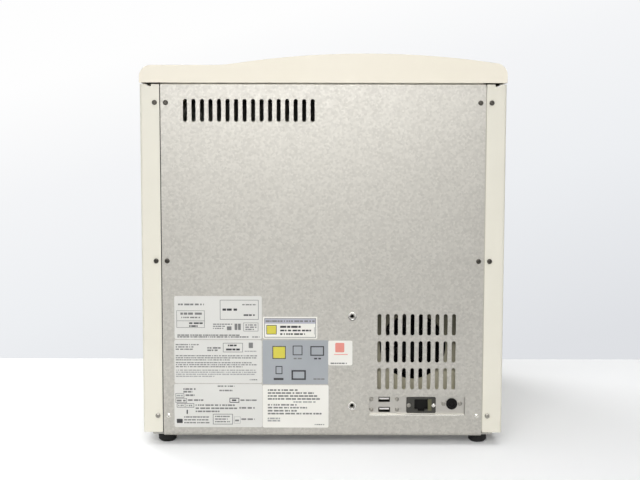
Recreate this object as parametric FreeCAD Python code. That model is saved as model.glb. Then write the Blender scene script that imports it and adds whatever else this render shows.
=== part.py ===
import FreeCAD, Part
import math
import os

# Benchtop cell counter: a carousel of sample cups, a probe, syringe, flow cell and camera
# inside a sheet and moulded case with a touch display.
# Millimetres. +Z up, the front with doors and display faces -Y, the rear panel +Y.
# Origin at the centre of the footprint, on the table.

V = FreeCAD.Vector
REARWARD = V(0, 1, 0)

# Case
width = 420.0
depth = 450.0
height = 455.0
foot_height = 12.0
foot_r = 11.3
foot_inset = 25.0
sheet = 1.2
pan_sheet = 1.5
wall = 3.0
seam_drop = 33.2          # crest of the cover down to the seam with the rear panel
rear_set_back = 2.4       # rear panel forward of the cover's rear edge
flange_w = 23.7           # side cover's return on the rear
panel_gap = 1.1           # rear panel to the side covers' returns
top_gap = 0.5             # rear panel to the seam line
side_up = 3.5             # side covers stop above the base pan's underside
bend_r = 5.0
top_bend_r = 2.0
post_inset = 12.5
post_w = 24.0
bay_depth = 269.0         # front face to the bulkhead

# Crown of the cover: a low arc, set to one side, that runs out into a flat shoulder
crest_inset = 160.0
crest_r = 1023.0
shoulder_drop = 13.1
shoulder_blend_r = 150.0
corner_r = 13.5

# Front fascia
fascia_depth = 65.0
lean_drop = 205.0         # crest down to the line where the front starts to lean
lean_deg = 13.0
edge_r = 8.0
rim_wall = 3.0
rim_depth = 11.0

# Doors and drawer
door_thick = 8.0
door_gap = 1.5
door_z0 = 66.0
column = 6.0              # upright between the two doors
reagent_w = 136.5         # middle of that upright to the side
pin_r = 1.5
pin_deep = 6.0
drawer_z0 = 18.0
drawer_z1 = 56.5
drawer_depth = 190.0
drawer_wall = 2.0

# Display and button, on the leaning face
display_inset = 145.0
display_up = 98.0
display_w = 236.0
display_h = 148.0
button_inset = 60.0
button_r = 11.0
button_lift = 2.4
running_gap = 0.05
free_gap = 0.3

# Rear panel features, from the panel's own edges
vent_w = 4.8
top_vents = 16
top_vent_pitch = 9.74
top_vent_inset = 51.9
top_vent_drop = 31.1
top_vent_len = 26.0
low_vents = 10
low_vent_pitch = 9.64
low_vent_z = 111.2
low_vent_row = 31.9
low_vent_len = 25.2
fan_inset = 104.4
fan_z = 116.2
fan_hole_r = 38.6
fan_size = 80.0
fan_deep = 25.0
tray_deep = 9.0           # tray that holds the fan off the vents
tray_wall = 1.5
window_inset = 99.5
window_z = 46.7
window_w = 112.5
window_h = 22.3
io_recess = 2.4           # connector plate behind the panel
io_sheet = 1.0
usb_w = 13.2
usb_h = 5.7
usb_pitch = 12.1
usb_screw_half = 15.0
net_w = 34.4
net_h = 18.8
net_screw_half = 14.5
power_r = 6.4
power_screw_half = 9.65
bracket_screw_z = (153.0, 47.2)
screw_r = 1.5
screw_up = 23.2           # lowest case screws, above the base pan's underside
screw_drop = 21.8         # highest case screws, below the panel's top

# Inner bays
deck_top = 92.0
deck_thick = 5.0
cups = 12
cup_margin = 38.5         # cup centres from the deck's sides
axis_offset = 15.5        # carousel axis to the left of the deck's middle
cup_outer_r = 9.0
cup_inner_r = 7.0
cup_height = 26.0
cup_z = 96.0
spindle_r = 6.0
bearing_r = 11.0
pulley_r = 24.0
motor_pulley_r = 8.0
shaft_r = 2.5
belt_z = 70.0
belt_h = 6.0
motor_size = 42.0
motor_h = 34.0
probe_r = 1.2
rod_r = 3.0
rod_spread = 18.0
shelf_z = 150.0
carriage_up = 110.0
carriage_h = 22.0
pack_z = 68.0
pack_top = 150.0
bar_z = 205.0

# Rear bay
board_w = 125.0
board_d = 105.4
board_z = 29.0
pump_w = 60.0
pump_d = 70.0
pump_h = 226.0
barrel_r = 6.5
rail_l = 126.0            # optical rail, beside the bulkhead
rail_w = 38.0
rail_z = 60.0
lamp_l = 22.0
cell_t = 6.0
camera_l = 28.0
camera_half = 16.0
bracket_h = 160.0
cable_drop = 77.0         # cable window in the bulkhead, below the panel's top
cable_w = 80.0
cable_h = 40.0

# Derived
half_w = width / 2
front = -depth / 2
back = depth / 2
split_y = front + fascia_depth
rear_y = back - rear_set_back          # outer face of the rear panel
inner_y = rear_y - sheet               # inner face of the rear panel
seam_z = height - seam_drop
panel_top = seam_z - top_gap
panel_half = half_w - flange_w
floor_z = foot_height
pan_z = floor_z + pan_sheet            # top of the base pan
relief_z = floor_z + bend_r            # top of the rear panel's lower bend
lean = math.radians(lean_deg)
lean_z = height - lean_drop
post_x = half_w - post_inset
pan_half = half_w - 10.0
crest_x = -half_w + crest_inset
bulkhead_y = front + bay_depth
door_z1 = lean_z - 6.0
door_edge_x = half_w - 10.0
door_split_x = half_w - reagent_w
divider_x = door_split_x - 3.5
deck_x = (-post_x + 27.5, divider_x - 1.0)
deck_y = (split_y - 5, bulkhead_y - 1.0)
deck_w = deck_x[1] - deck_x[0]
cup_pitch_r = deck_w / 2 - cup_margin
axis_x = (deck_x[0] + deck_x[1]) / 2 - axis_offset
axis_y = bulkhead_y - 25.0 - cup_pitch_r
motor_x = deck_x[1] - 31.0
motor_y = bulkhead_y - 34.0
display_x = -half_w + display_inset
button_x = half_w - button_inset
top_vent_x = half_w - top_vent_inset
top_vent_z = seam_z - top_vent_drop
window_x = -half_w + window_inset
fan_x = -half_w + fan_inset
low_vent_x = fan_x + 39.6
usb_x = window_x + 38.1
usb_z = window_z + 1.2
net_x = window_x - 5.1
power_x = window_x - 41.1
bracket_x = window_x + 76.1
screw_inner_x = panel_half - 6.0
screw_outer_x = panel_half + 6.7
screw_low, screw_high = floor_z + screw_up, panel_top - screw_drop
screw_z = (screw_low, (screw_low + screw_high) / 2, screw_high)

os.makedirs("parts", exist_ok=True)


def save(name, *solids):
    """Write one node, as a solid or as a compound of separate solids."""
    shape = solids[0] if len(solids) == 1 else Part.makeCompound(list(solids))
    shape.exportStep("parts/%s.step" % name)
    return shape


def box(x0, x1, y0, y1, z0, z1):
    return Part.makeBox(x1 - x0, y1 - y0, z1 - z0, V(x0, y0, z0))


def rod(r, x, y, z, length, axis=V(0, 0, 1)):
    return Part.makeCylinder(r, length, V(x, y, z), axis)


def block(x0, x1, y0, y1, z0, z1, radius, along="Z"):
    """Box with the edges along one axis rounded."""
    solid = box(x0, x1, y0, y1, z0, z1)
    return solid.makeFillet(radius, [e for e in solid.Edges if getattr(e.BoundBox, along + "Length") > 1e-3])


def plate(width_x, height_z, radius, x, z, y0, y1):
    """Rounded rectangle facing the front or rear, centred at x and z."""
    a, b = width_x / 2, height_z / 2
    return block(x - a, x + a, y0, y1, z - b, z + b, radius, "Y")


def fold(points, radii, thick, along):
    """Bent sheet: outer skin through points with a radius at each bend, swept along a vector."""
    edges, last = [], points[0]
    for before, at, after, radius in zip(points, points[1:], points[2:], radii):
        u, w = (before - at).normalize(), (after - at).normalize()
        half = math.acos(max(-1.0, min(1.0, u.dot(w)))) / 2
        start, end = at + u * (radius / math.tan(half)), at + w * (radius / math.tan(half))
        centre = at + (u + w).normalize() * (radius / math.sin(half))
        edges.append(Part.makeLine(last, start))
        edges.append(Part.Arc(start, centre + (at - centre).normalize() * radius, end).toShape())
        last = end
    edges.append(Part.makeLine(last, points[-1]))
    skin = Part.Wire(edges)
    inside = [skin.makeOffset2D(t, 0, True, True) for t in (thick, -thick)]
    return min(inside, key=lambda face: face.Area).extrude(along)


def crown(inset, z0, y0, y1):
    """Outline of the case seen from the rear, swept from y0 to y1."""
    edge, r = half_w - inset, crest_r - inset
    blend, corner = shoulder_blend_r + inset, max(corner_r - inset, 0.8)
    shoulder = height - shoulder_drop - inset
    cz = height - crest_r
    low = V(-edge + corner, y0, cz + math.sqrt((r - corner) ** 2 - (edge - corner + crest_x) ** 2))
    out = (low - V(crest_x, y0, cz)).normalize()
    first = V(crest_x, y0, cz) + out * r
    blend_z = shoulder + blend
    blend_x = crest_x + math.sqrt((r + blend) ** 2 - (blend_z - cz) ** 2)
    share = r / (r + blend)
    second = V(crest_x + (blend_x - crest_x) * share, y0, cz + (blend_z - cz) * share)
    top = (V((first.x + second.x) / 2, y0, (first.z + second.z) / 2) - V(crest_x, y0, cz)).normalize()
    dip = (V((second.x + blend_x) / 2, y0, (second.z + shoulder) / 2)
           - V(blend_x, y0, blend_z)).normalize()
    skew = (V(-1, 0, 0) + out).normalize()
    bow = corner * math.sqrt(0.5)
    pts = [V(-edge, y0, z0), V(-edge, y0, low.z), V(blend_x, y0, shoulder),
           V(edge - corner, y0, shoulder), V(edge, y0, shoulder - corner), V(edge, y0, z0)]
    loop = [Part.makeLine(pts[0], pts[1]),
            Part.Arc(pts[1], low + skew * corner, first).toShape(),
            Part.Arc(first, V(crest_x, y0, cz) + top * r, second).toShape(),
            Part.Arc(second, V(blend_x, y0, blend_z) + dip * blend, pts[2]).toShape(),
            Part.makeLine(pts[2], pts[3]),
            Part.Arc(pts[3], V(edge - corner + bow, y0, shoulder - corner + bow), pts[4]).toShape(),
            Part.makeLine(pts[4], pts[5]), Part.makeLine(pts[5], pts[0])]
    return Part.Face(Part.Wire(loop)).extrude(V(0, y1 - y0, 0))


def lean_face(inset):
    """Block behind the front profile: upright below, leaning back above."""
    y, top = front + inset, height + 50
    shift = inset * (1 / math.cos(lean) - 1)
    bend = lean_z + shift / math.tan(lean)
    pts = [V(-width, y, -50), V(-width, y, bend), V(-width, y + (top - bend) * math.tan(lean), top),
           V(-width, back + 50, top), V(-width, back + 50, -50)]
    return Part.Face(Part.makePolygon(pts + [pts[0]])).extrude(V(2 * width, 0, 0))


def on_face(shape, x=0.0, up=0.0):
    """Move a shape drawn on the plane Y = 0 to the leaning front face."""
    shape = shape.copy()
    shape.translate(V(x, 0, up))
    shape.rotate(V(0, 0, 0), V(1, 0, 0), -lean_deg)
    shape.translate(V(0, front, lean_z))
    return shape


def slot(x, z, length, w, y0, y1):
    """Upright slot with full-round ends, cut from front to rear."""
    r, a = w / 2, (length - w) / 2
    loop = [Part.Arc(V(x + r, y0, z + a), V(x, y0, z + a + r), V(x - r, y0, z + a)).toShape(),
            Part.makeLine(V(x - r, y0, z + a), V(x - r, y0, z - a)),
            Part.Arc(V(x - r, y0, z - a), V(x, y0, z - a - r), V(x + r, y0, z - a)).toShape(),
            Part.makeLine(V(x + r, y0, z - a), V(x + r, y0, z + a))]
    return Part.Face(Part.Wire(loop)).extrude(V(0, y1 - y0, 0))


# Case: pan, feet, panels
flange_x = half_w - 8.8
pan_front = front + rim_depth + 1.0
pan_back = rear_y - bend_r
pan_path = [V(pan_half, pan_front, pan_z + 13), V(pan_half, pan_front, floor_z),
            V(-pan_half, pan_front, floor_z), V(-pan_half, pan_front, pan_z + 13)]
base_pan = fold(pan_path, (2.0, 2.0), pan_sheet, V(0, pan_back - pan_front, 0))
drawer_half = (deck_x[0] + 12.0, deck_x[1] - 11.0)
for x in (drawer_half[0] + 12, drawer_half[1] - 12):
    runner = box(x - 6, x + 6, split_y, split_y + drawer_depth - fascia_depth - 10, pan_z,
                 drawer_z0 + 2 - free_gap)
    base_pan = base_pan.fuse(runner)
board_x = (window_x - 64.5, window_x - 64.5 + board_w)
board_y = (inner_y - 6 - board_d, inner_y - 6)
for x in (board_x[0] + 10, board_x[1] - 10):
    for y in (board_y[0] + 15, board_y[1] - 10.4):
        base_pan = base_pan.fuse(rod(3.5, x, y, pan_z, board_z - pan_z))
save("base_pan", base_pan.removeSplitter())

feet = []
for sx in (-1, 1):
    for sy in (-1, 1):
        x, y = sx * (half_w - foot_inset), sy * (back - foot_inset)
        foot = Part.makeCone(foot_r - 0.8, foot_r, floor_z, V(x, y, 0))
        foot = foot.makeChamfer(2.5, [e for e in foot.Edges if abs(e.BoundBox.ZMax) < 1e-6])
        feet.append(foot.cut(rod(3.4, x, y, -1, 4)))
save("rubber_feet", *feet)

rear_path = [V(-panel_half, rear_y - 11, floor_z - sheet), V(-panel_half, rear_y, floor_z - sheet),
             V(-panel_half, rear_y, panel_top), V(-panel_half, rear_y - 12, panel_top)]
rear = fold(rear_path, (bend_r, top_bend_r), sheet, V(2 * panel_half, 0, 0))
top_xs = [top_vent_x - top_vent_pitch * i for i in range(top_vents)]
low_xs = [low_vent_x - low_vent_pitch * i for i in range(low_vents)]
low_zs = [low_vent_z + low_vent_row * k for k in (-1, 0, 1)]
cuts = [slot(x, top_vent_z, top_vent_len, vent_w, inner_y - 2, rear_y + 2) for x in top_xs]
cuts += [slot(x, z, low_vent_len, vent_w - 0.2, inner_y - 2, rear_y + 2) for x in low_xs for z in low_zs]
cuts.append(box(window_x - window_w / 2, window_x + window_w / 2, inner_y - 2, rear_y + 2,
                window_z - window_h / 2, window_z + window_h / 2))
for z in screw_z:
    cuts += [rod(screw_r + 0.2, s * screw_inner_x, inner_y - 2, z, 6, REARWARD) for s in (-1, 1)]
for z in bracket_screw_z:
    cuts.append(rod(2.2, bracket_x, inner_y - 2, z, 6, REARWARD))
save("rear_panel", rear.cut(cuts))

side_z, side_top = floor_z + side_up, panel_top - 1.0
for name, s in (("side_cover_right", 1), ("side_cover_left", -1)):
    path = [V(s * (panel_half + panel_gap), rear_y, side_z), V(s * half_w, rear_y, side_z),
            V(s * half_w, split_y + 0.4, side_z)]
    cover = fold(path, (3.0,), sheet, V(0, 0, side_top - side_z))
    lip = box(min(s * flange_x, s * (half_w - 0.6)), max(s * flange_x, s * (half_w - 0.6)),
              split_y + 1.2, rear_y - sheet, side_z, side_z + sheet)
    notch_x = s * (half_w - 10.7)
    notch = box(notch_x - 2.5, notch_x + 2.5, inner_y - 2, rear_y + 2, side_top - 2.3, side_top + 1)
    holes = [rod(screw_r + 0.2, s * screw_outer_x, inner_y - 2, z, 6, REARWARD) for z in screw_z]
    save(name, cover.fuse(lip).cut([notch] + holes).removeSplitter())

# Moulded cover and fascia: one outline, shelled, split behind the leaning face
outer = crown(0.0, floor_z, front - 10, back).common(lean_face(0.0))


def fascia_edge(e):
    """Edges that bound the front faces, without the bend line and the bottom edge."""
    def ahead(p):
        face = front + max(0.0, p.z - lean_z) * math.tan(lean)
        return abs(p.y - face) < 1e-3
    a, b = e.Vertexes[0].Point, e.Vertexes[-1].Point
    level = abs(a.z - b.z) < 1e-6 and (abs(a.z - lean_z) < 1e-3 or abs(a.z - floor_z) < 1e-3)
    return ahead(a) and ahead(b) and ahead(e.valueAt((e.FirstParameter + e.LastParameter) / 2)) and not level


outer = outer.makeFillet(edge_r, [e for e in outer.Edges if fascia_edge(e)])
inner = crown(wall, floor_z - 20, front - 10, back - wall).common(lean_face(wall))
shell = outer.cut(inner)
cover = shell.common(box(-width, width, split_y + free_gap, back + 10, seam_z + free_gap, height + 10))
ribs = [box(-half_w + wall - 0.5, half_w - wall + 0.5, y, y + 2, seam_z + 14, height)
        for y in (bulkhead_y - 104, bulkhead_y + 76)]
hollow = crown(wall + 9.0, 0, split_y - 5, back)
ribs = [r.common(crown(0.5, 0, split_y - 5, back)).cut(hollow) for r in ribs]
cover = cover.fuse(ribs).removeSplitter()
save("top_cover", cover)

door_left = (-door_edge_x, door_split_x - column / 2 - door_gap)
door_right = (door_split_x + column / 2 + door_gap, door_edge_x)
openings = [(door_left[0], door_left[1], door_z0, door_z1),
            (door_right[0], door_right[1], door_z0, door_z1),
            (door_left[0], door_left[1], drawer_z0, drawer_z1)]
fascia = shell.common(box(-width, width, front - 10, split_y, floor_z, height + 10))
lip = crown(wall, floor_z + 60, split_y - 12, split_y + 8)
lip = lip.cut(crown(wall + 2, 0, split_y - 13, split_y + 9))
fascia = fascia.fuse(lip)
rims, mouths = [], []
for x0, x1, z0, z1 in openings:
    a, b, c, d = x0 - door_gap, x1 + door_gap, z0 - door_gap, z1 + door_gap
    rims.append(box(a - rim_wall, b + rim_wall, front + 1, front + rim_depth, c - rim_wall, d + rim_wall))
    mouths.append(box(a, b, front - 5, front + rim_depth + 5, c, d))
rims.append(on_face(plate(display_w + 8, display_h + 8, 8, 0, 0, 1.0, 7.0), display_x, display_up))
mouths.append(on_face(plate(display_w + 0.6, display_h + 0.6, 6.3, 0, 0, -9, 12), display_x, display_up))
mouths.append(on_face(rod(15.2, 0, -9, 0, 24, REARWARD), button_x, display_up))
fascia = fascia.fuse([r.common(outer) for r in rims])
keep = box(-width, width, front - 10, split_y + 8, floor_z, height + 10)
hinge_y = front + door_thick / 2
hinges = [(door_left[0] + door_thick / 2, s) for s in (-1, 1)]
hinges += [(door_right[1] - door_thick / 2, s) for s in (-1, 1)]
pins = []
for x, s in hinges:
    z = door_z1 + door_gap if s > 0 else door_z0 - door_gap - rim_wall
    reach = z - pin_deep if s > 0 else z
    pins.append(rod(pin_r, x, hinge_y, reach, rim_wall + pin_deep))
    mouths.append(rod(pin_r, x, hinge_y, z - 1, rim_wall + 1))
fascia = fascia.common(keep).cut(mouths)
save("front_fascia", fascia.removeSplitter())
save("hinge_pins", *pins)

# Frame
posts = []
for sx in (-1, 1):
    for y0, y1, web in ((inner_y - 20, inner_y, inner_y - 2), (split_y + 10, split_y + 30, split_y + 10)):
        xs = sorted((sx * post_x, sx * (post_x - post_w)))
        post = box(xs[0], xs[1], web, web + 2, pan_z, panel_top - 14)
        edge = sorted((sx * (post_x - 2.0), sx * post_x))
        post = post.fuse(box(edge[0], edge[1], y0, y1, pan_z, panel_top - 14))
        if web > 0:
            post = post.cut(box(-half_w, half_w, pan_back, rear_y, pan_z - 1, relief_z))
            for z in screw_z:
                for x in (screw_inner_x, screw_outer_x):
                    post = post.cut(rod(screw_r, sx * x, y0, z, 30, REARWARD))
        posts.append(post.removeSplitter())
save("frame_posts", *posts)

bulk_x = post_x - 0.2
bulkhead = fold([V(-bulk_x, bulkhead_y, pan_z), V(-bulk_x, bulkhead_y, panel_top - 12),
                 V(-bulk_x, bulkhead_y + 14, panel_top - 12)], (2.0,), sheet, V(2 * bulk_x, 0, 0))
cable_x, cable_z = divider_x + 20, panel_top - cable_drop
bulkhead = bulkhead.cut([box(cable_x, cable_x + cable_w, bulkhead_y - 5, bulkhead_y + 5,
                             cable_z - cable_h, cable_z),
                         rod(8, axis_x - 54, bulkhead_y - 5, lean_z, 10, REARWARD)])
save("bulkhead", bulkhead)
divider_y = front + rim_depth + 1.0
shelf_x = post_x - post_w - 2.0
divider = fold([V(divider_x, divider_y, lean_z + 34), V(divider_x, divider_y, pan_z),
                V(divider_x + 14, divider_y, pan_z)], (2.0,), sheet, V(0, bulkhead_y - divider_y, 0))
shelf = fold([V(divider_x, divider_y, pack_z), V(shelf_x, divider_y, pack_z), V(shelf_x, divider_y, pan_z)],
             (2.0,), sheet, V(0, bulkhead_y - divider_y, 0))
divider = divider.fuse(shelf)
save("bay_divider", divider.removeSplitter())


def pan_screw(r, head_r, head_h, x, y, z, length):
    """Pan-head screw, head towards +Y, seated at y."""
    rim_h = head_h / 2
    head = rod(head_r, x, y, z, rim_h, REARWARD)
    dome = Part.makeCone(head_r, head_r * 0.6, rim_h, V(x, y + rim_h, z), REARWARD)
    return head.fuse([dome, rod(r, x, y - length, z, length, REARWARD)]).removeSplitter()


save("cover_screws", *[pan_screw(screw_r, 2.9, 2.0, s * x, rear_y, z, 6.0)
                       for z in screw_z for s in (-1, 1) for x in (screw_inner_x, screw_outer_x)])

# Electronics: bracket wall on the two large screws, board, connectors, fan
washer_t = 0.8
bracket_set = []
for z in bracket_screw_z:
    washer = rod(5.0, bracket_x, rear_y, z, washer_t, REARWARD)
    bracket_set.append(washer.cut(rod(2.0, bracket_x, rear_y - 1, z, 9, REARWARD)))
    head_h = rear_set_back - washer_t - 0.1
    bracket_set.append(pan_screw(2.0, 4.0, head_h, bracket_x, rear_y + washer_t, z, 8.0))
save("bracket_screws", *bracket_set)
wall_path = [V(bracket_x - 8, inner_y, pan_z), V(bracket_x + 8, inner_y, pan_z),
             V(bracket_x + 8, bulkhead_y + 8, pan_z)]
bracket = fold(wall_path, (2.5,), sheet, V(0, 0, bracket_h))
bracket = bracket.cut([rod(2.0, bracket_x, inner_y - 6, z, 8, REARWARD) for z in bracket_screw_z]
                      + [box(bracket_x - 20, bracket_x + 20, pan_back, rear_y, pan_z - 1, relief_z)])
save("electronics_bracket", bracket)

io_face = inner_y - io_recess
io_back = io_face - io_sheet
io_x, io_half = window_x - window_w / 2 - 6, window_h / 2 + io_sheet
io_path = [V(io_x, y, window_z + s * io_half)
           for y, s in ((inner_y, -1), (io_back, -1), (io_back, 1), (inner_y, 1))]
io = fold(io_path, (1.8, 1.8), io_sheet, V(window_w + 12, 0, 0))
usb_zs = (usb_z + usb_pitch / 2, usb_z - usb_pitch / 2)
net_z = window_z + 0.8
power_z = window_z + 2.2
io_cuts = [plate(usb_w + 2 * free_gap, usb_h + 2 * free_gap, 0.9, usb_x, z, io_back - 1, io_face + 1) for z in usb_zs]
io_cuts.append(box(net_x - 10, net_x + 10, io_back - 1, io_face + 1, net_z - 8.5, net_z + 8.5))
io_cuts.append(rod(power_r, power_x, io_back - 1, power_z, 4, REARWARD))
io_marks = [(net_x + s * net_screw_half, net_z) for s in (-1, 1)]
io_marks += [(power_x + s * power_screw_half, power_z) for s in (-1, 1)]
io_marks += [(usb_x + s * usb_screw_half, z) for z in usb_zs for s in (-1, 1)]
io_cuts += [rod(1.25, x, io_back - 1, z, 4, REARWARD) for x, z in io_marks]
save("io_plate", io.cut(io_cuts))

shells, tongues = [], []
for z in usb_zs:
    can = plate(usb_w, usb_h, 0.6, usb_x, z, io_face - 15, io_face)
    can = can.cut(plate(usb_w - 0.8, usb_h - 0.8, 0.4, usb_x, z, io_face - 13.5, io_face + 1))
    shells.append(can)
    tongues.append(box(usb_x - 5.6, usb_x + 5.6, io_face - 13.5, io_face - 0.8, z - 0.1, z + 1.7))
save("usb_sockets", *shells)
save("usb_tongues", *tongues)

net = plate(net_w, net_h, 1.5, net_x, net_z, io_face, io_face + 2.0)
net = net.fuse(box(net_x - 10, net_x + 10, io_face - 16, io_face + 1, net_z - 8.5, net_z + 8.5))
net = net.cut([plate(15.6, 12.0, 0.8, net_x, net_z + 1.0, io_face - 13, io_face + 3),
               box(net_x - 4, net_x + 4, io_face - 13, io_face + 3, net_z - 7.2, net_z)])
net = net.cut([rod(1.25, x, io_face - 1, z, 4, REARWARD) for x, z in io_marks[:2]])
save("network_socket", net)
ears = plate(25.0, 8.0, 3.9, power_x, power_z, io_face, io_face + 1.2)
socket = ears.fuse([rod(power_r, power_x, io_face - 11, power_z, 11, REARWARD),
                    rod(power_r + 0.6, power_x, io_face, power_z, 2.2, REARWARD)])
socket = socket.cut(rod(3.2, power_x, io_face - 9.5, power_z, 14, REARWARD))
socket = socket.fuse(rod(1.0, power_x, io_face - 10, power_z, 8.5, REARWARD))
socket = socket.cut([rod(1.25, x, io_face - 1, z, 4, REARWARD) for x, z in io_marks[2:4]])
save("power_socket", socket.removeSplitter())
io_heads = []
for i, (x, z) in enumerate(io_marks):
    seat = io_face + (2.0, 2.0, 1.2, 1.2, 0, 0, 0, 0)[i]
    io_heads.append(pan_screw(1.25, 2.4, 1.2, x, seat, z, seat - io_back + 2.0))
save("io_screws", *io_heads)

fan_y1 = inner_y - tray_deep
tray_x = (low_xs[-1] - 10.5, low_xs[0] + 10.5)
tray_z = (low_zs[0] - low_vent_len / 2 - 2.5, low_zs[2] + low_vent_len / 2 + 2.5)
tray = box(tray_x[0], tray_x[1], fan_y1, inner_y, tray_z[0], tray_z[1])
hollow = box(tray_x[0] + tray_wall, tray_x[1] - tray_wall, fan_y1 + tray_wall, inner_y + 1,
             tray_z[0] + tray_wall, tray_z[1] - tray_wall)
save("fan_plate", tray.cut([hollow, rod(fan_hole_r, fan_x, fan_y1 - 1, fan_z, tray_deep, REARWARD)]))
fan = plate(fan_size, fan_size, 5, fan_x, fan_z, fan_y1 - fan_deep, fan_y1)
fan = fan.cut(rod(fan_hole_r, fan_x, fan_y1 - fan_deep - 1, fan_z, fan_deep + 2, REARWARD))
fan = fan.cut([rod(2.2, fan_x + a, fan_y1 - 40, fan_z + b, 50, REARWARD)
               for a in (-35.75, 35.75) for b in (-35.75, 35.75)])
spokes = [rod(14.0, fan_x, fan_y1 - fan_deep, fan_z, 2.0, REARWARD)]
for k in range(4):
    arm = box(fan_x, fan_x + fan_hole_r + 1, fan_y1 - fan_deep, fan_y1 - fan_deep + 2, fan_z - 2, fan_z + 2)
    arm.rotate(V(fan_x, 0, fan_z), REARWARD, 45 + 90 * k)
    spokes.append(arm)
spokes.append(rod(2.0, fan_x, fan_y1 - fan_deep, fan_z, 16.0, REARWARD))
save("fan_housing", fan.fuse(spokes).removeSplitter())
hub_r, tip_r = 16.0, fan_hole_r - 2.6
hub = rod(hub_r, fan_x, fan_y1 - fan_deep + 3, fan_z, fan_deep - 5, REARWARD)
hub = hub.cut(rod(2.0 + running_gap, fan_x, fan_y1 - fan_deep + 2, fan_z, 14.5, REARWARD))


def blade_section(out, half_h, y0, y1, thick):
    """Slanted section of a fan blade, at a distance out from the shaft."""
    pts = [V(fan_x + out, y0, fan_z - half_h), V(fan_x + out, y0 + thick, fan_z - half_h),
           V(fan_x + out, y1 + thick, fan_z + half_h), V(fan_x + out, y1, fan_z + half_h)]
    return Part.makePolygon(pts + [pts[0]])


blades = []
for k in range(7):
    root = blade_section(hub_r - 1.5, 4.5, fan_y1 - 21.0, fan_y1 - 6.4, 1.4)
    tip = blade_section(tip_r - 1.0, 9.5, fan_y1 - 19.0, fan_y1 - 8.0, 1.0)
    blade = Part.makeLoft([root, tip], True, True)
    blade.rotate(V(fan_x, 0, fan_z), REARWARD, 360.0 / 7 * k)
    blades.append(blade)
save("fan_rotor", hub.fuse(blades).removeSplitter())

board = box(board_x[0], board_x[1], board_y[0], board_y[1], board_z, board_z + 1.6)
bx, by, top = board_x[0], board_y[0], board_z + 1.0
chips = [box(bx + 25, bx + 55, by + 25, by + 55, top, top + 11),
         box(bx + 80, bx + 110, by + 15, by + 40, top, top + 4),
         box(bx + 7, bx + 15, by + 65, by + 95, top, top + 8),
         box(bx + 75, bx + 115, by + 50, by + 62, top, top + 3),
         box(bx + 23, bx + 56.5, by + 25, by + 55, top + 9, top + 11.5)]
chips += [box(bx + 23 + 4 * i, bx + 24.5 + 4 * i, by + 25, by + 55, top + 11, top + 21) for i in range(9)]
save("main_board", board.fuse(chips).removeSplitter())

# Sample bay: deck, carousel and its drive
deck = block(deck_x[0], deck_x[1], deck_y[0], deck_y[1], deck_top - deck_thick, deck_top, 6)
legs = [rod(5.0, x, y, pan_z, deck_top - pan_z - 1) for x in (deck_x[0] + 5.5, deck_x[1] - 5.5)
        for y in (split_y + 5, bulkhead_y - 10)]
cup = rod(15.0, axis_x, axis_y, deck_top - 14, 13)
deck = deck.fuse(legs + [cup])
deck = deck.cut([rod(bearing_r, axis_x, axis_y, deck_top - 14.5, 16),
                 rod(6.5, motor_x, motor_y, deck_top - 9, 12)])
save("stage_deck", deck.removeSplitter())
bearings = []
for z in (deck_top - 13.5, deck_top - 6.0):
    ring = rod(bearing_r, axis_x, axis_y, z, 5.5).cut(rod(spindle_r + running_gap, axis_x, axis_y, z - 1, 8))
    bearings.append(ring)
save("spindle_bearings", *bearings)
disc_z = cup_z + 8.0
save("carousel_spindle", rod(spindle_r, axis_x, axis_y, belt_z - 10, disc_z + 14 - belt_z + 10)
     .fuse(rod(spindle_r + 3, axis_x, axis_y, deck_top + 0.5, disc_z - deck_top - 0.5)).removeSplitter())
disc_r = cup_pitch_r - 5.0
disc = rod(disc_r, axis_x, axis_y, disc_z, 4.0).fuse(rod(14.0, axis_x, axis_y, disc_z, 12.0))
disc = disc.cut(rod(spindle_r, axis_x, axis_y, disc_z - 1, 20))
holders = []
for k in range(cups):
    a = math.radians(90 + 360.0 / cups * k)
    x, y = axis_x + cup_pitch_r * math.cos(a), axis_y + cup_pitch_r * math.sin(a)
    disc = disc.cut(rod(cup_outer_r, x, y, disc_z - 1, 6))
    b = math.radians(90 + 360.0 / cups * (k + 0.5))
    disc = disc.cut(rod(7.0, axis_x + 46 * math.cos(b), axis_y + 46 * math.sin(b), disc_z - 1, 6))
    collar = rod(cup_outer_r + 1.2, x, y, cup_z + cup_height - 3, 3)
    tube = rod(cup_outer_r, x, y, cup_z, cup_height).fuse(collar)
    holders.append(tube.cut(rod(cup_inner_r, x, y, cup_z - 1, cup_height + 2)).removeSplitter())
save("carousel_disc", disc)
save("cup_holders", *holders)


def pulley(r, bore, x, y, z, height_z, teeth):
    """Toothed belt pulley with flanges."""
    body = rod(r, x, y, z, height_z).cut(rod(bore, x, y, z - 1, height_z + 2))
    gaps = []
    for k in range(teeth):
        gap = box(x + r - 0.9, x + r + 1, y - 0.8, y + 0.8, z - 1, z + height_z + 1)
        gap.rotate(V(x, y, 0), V(0, 0, 1), 360.0 * k / teeth)
        gaps.append(gap)
    body = body.cut(gaps)
    rims = [rod(r + 1.2, x, y, c, 1.0).cut(rod(bore, x, y, c - 1, 3)) for c in (z - 1.0, z + height_z)]
    return body.fuse(rims).removeSplitter()


groove_z = belt_z - belt_h / 2 - 0.5
save("carousel_pulley", pulley(pulley_r, spindle_r, axis_x, axis_y, groove_z, belt_h + 1, 30))
save("motor_pulley", pulley(motor_pulley_r, shaft_r, motor_x, motor_y, groove_z, belt_h + 1, 10))


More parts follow.
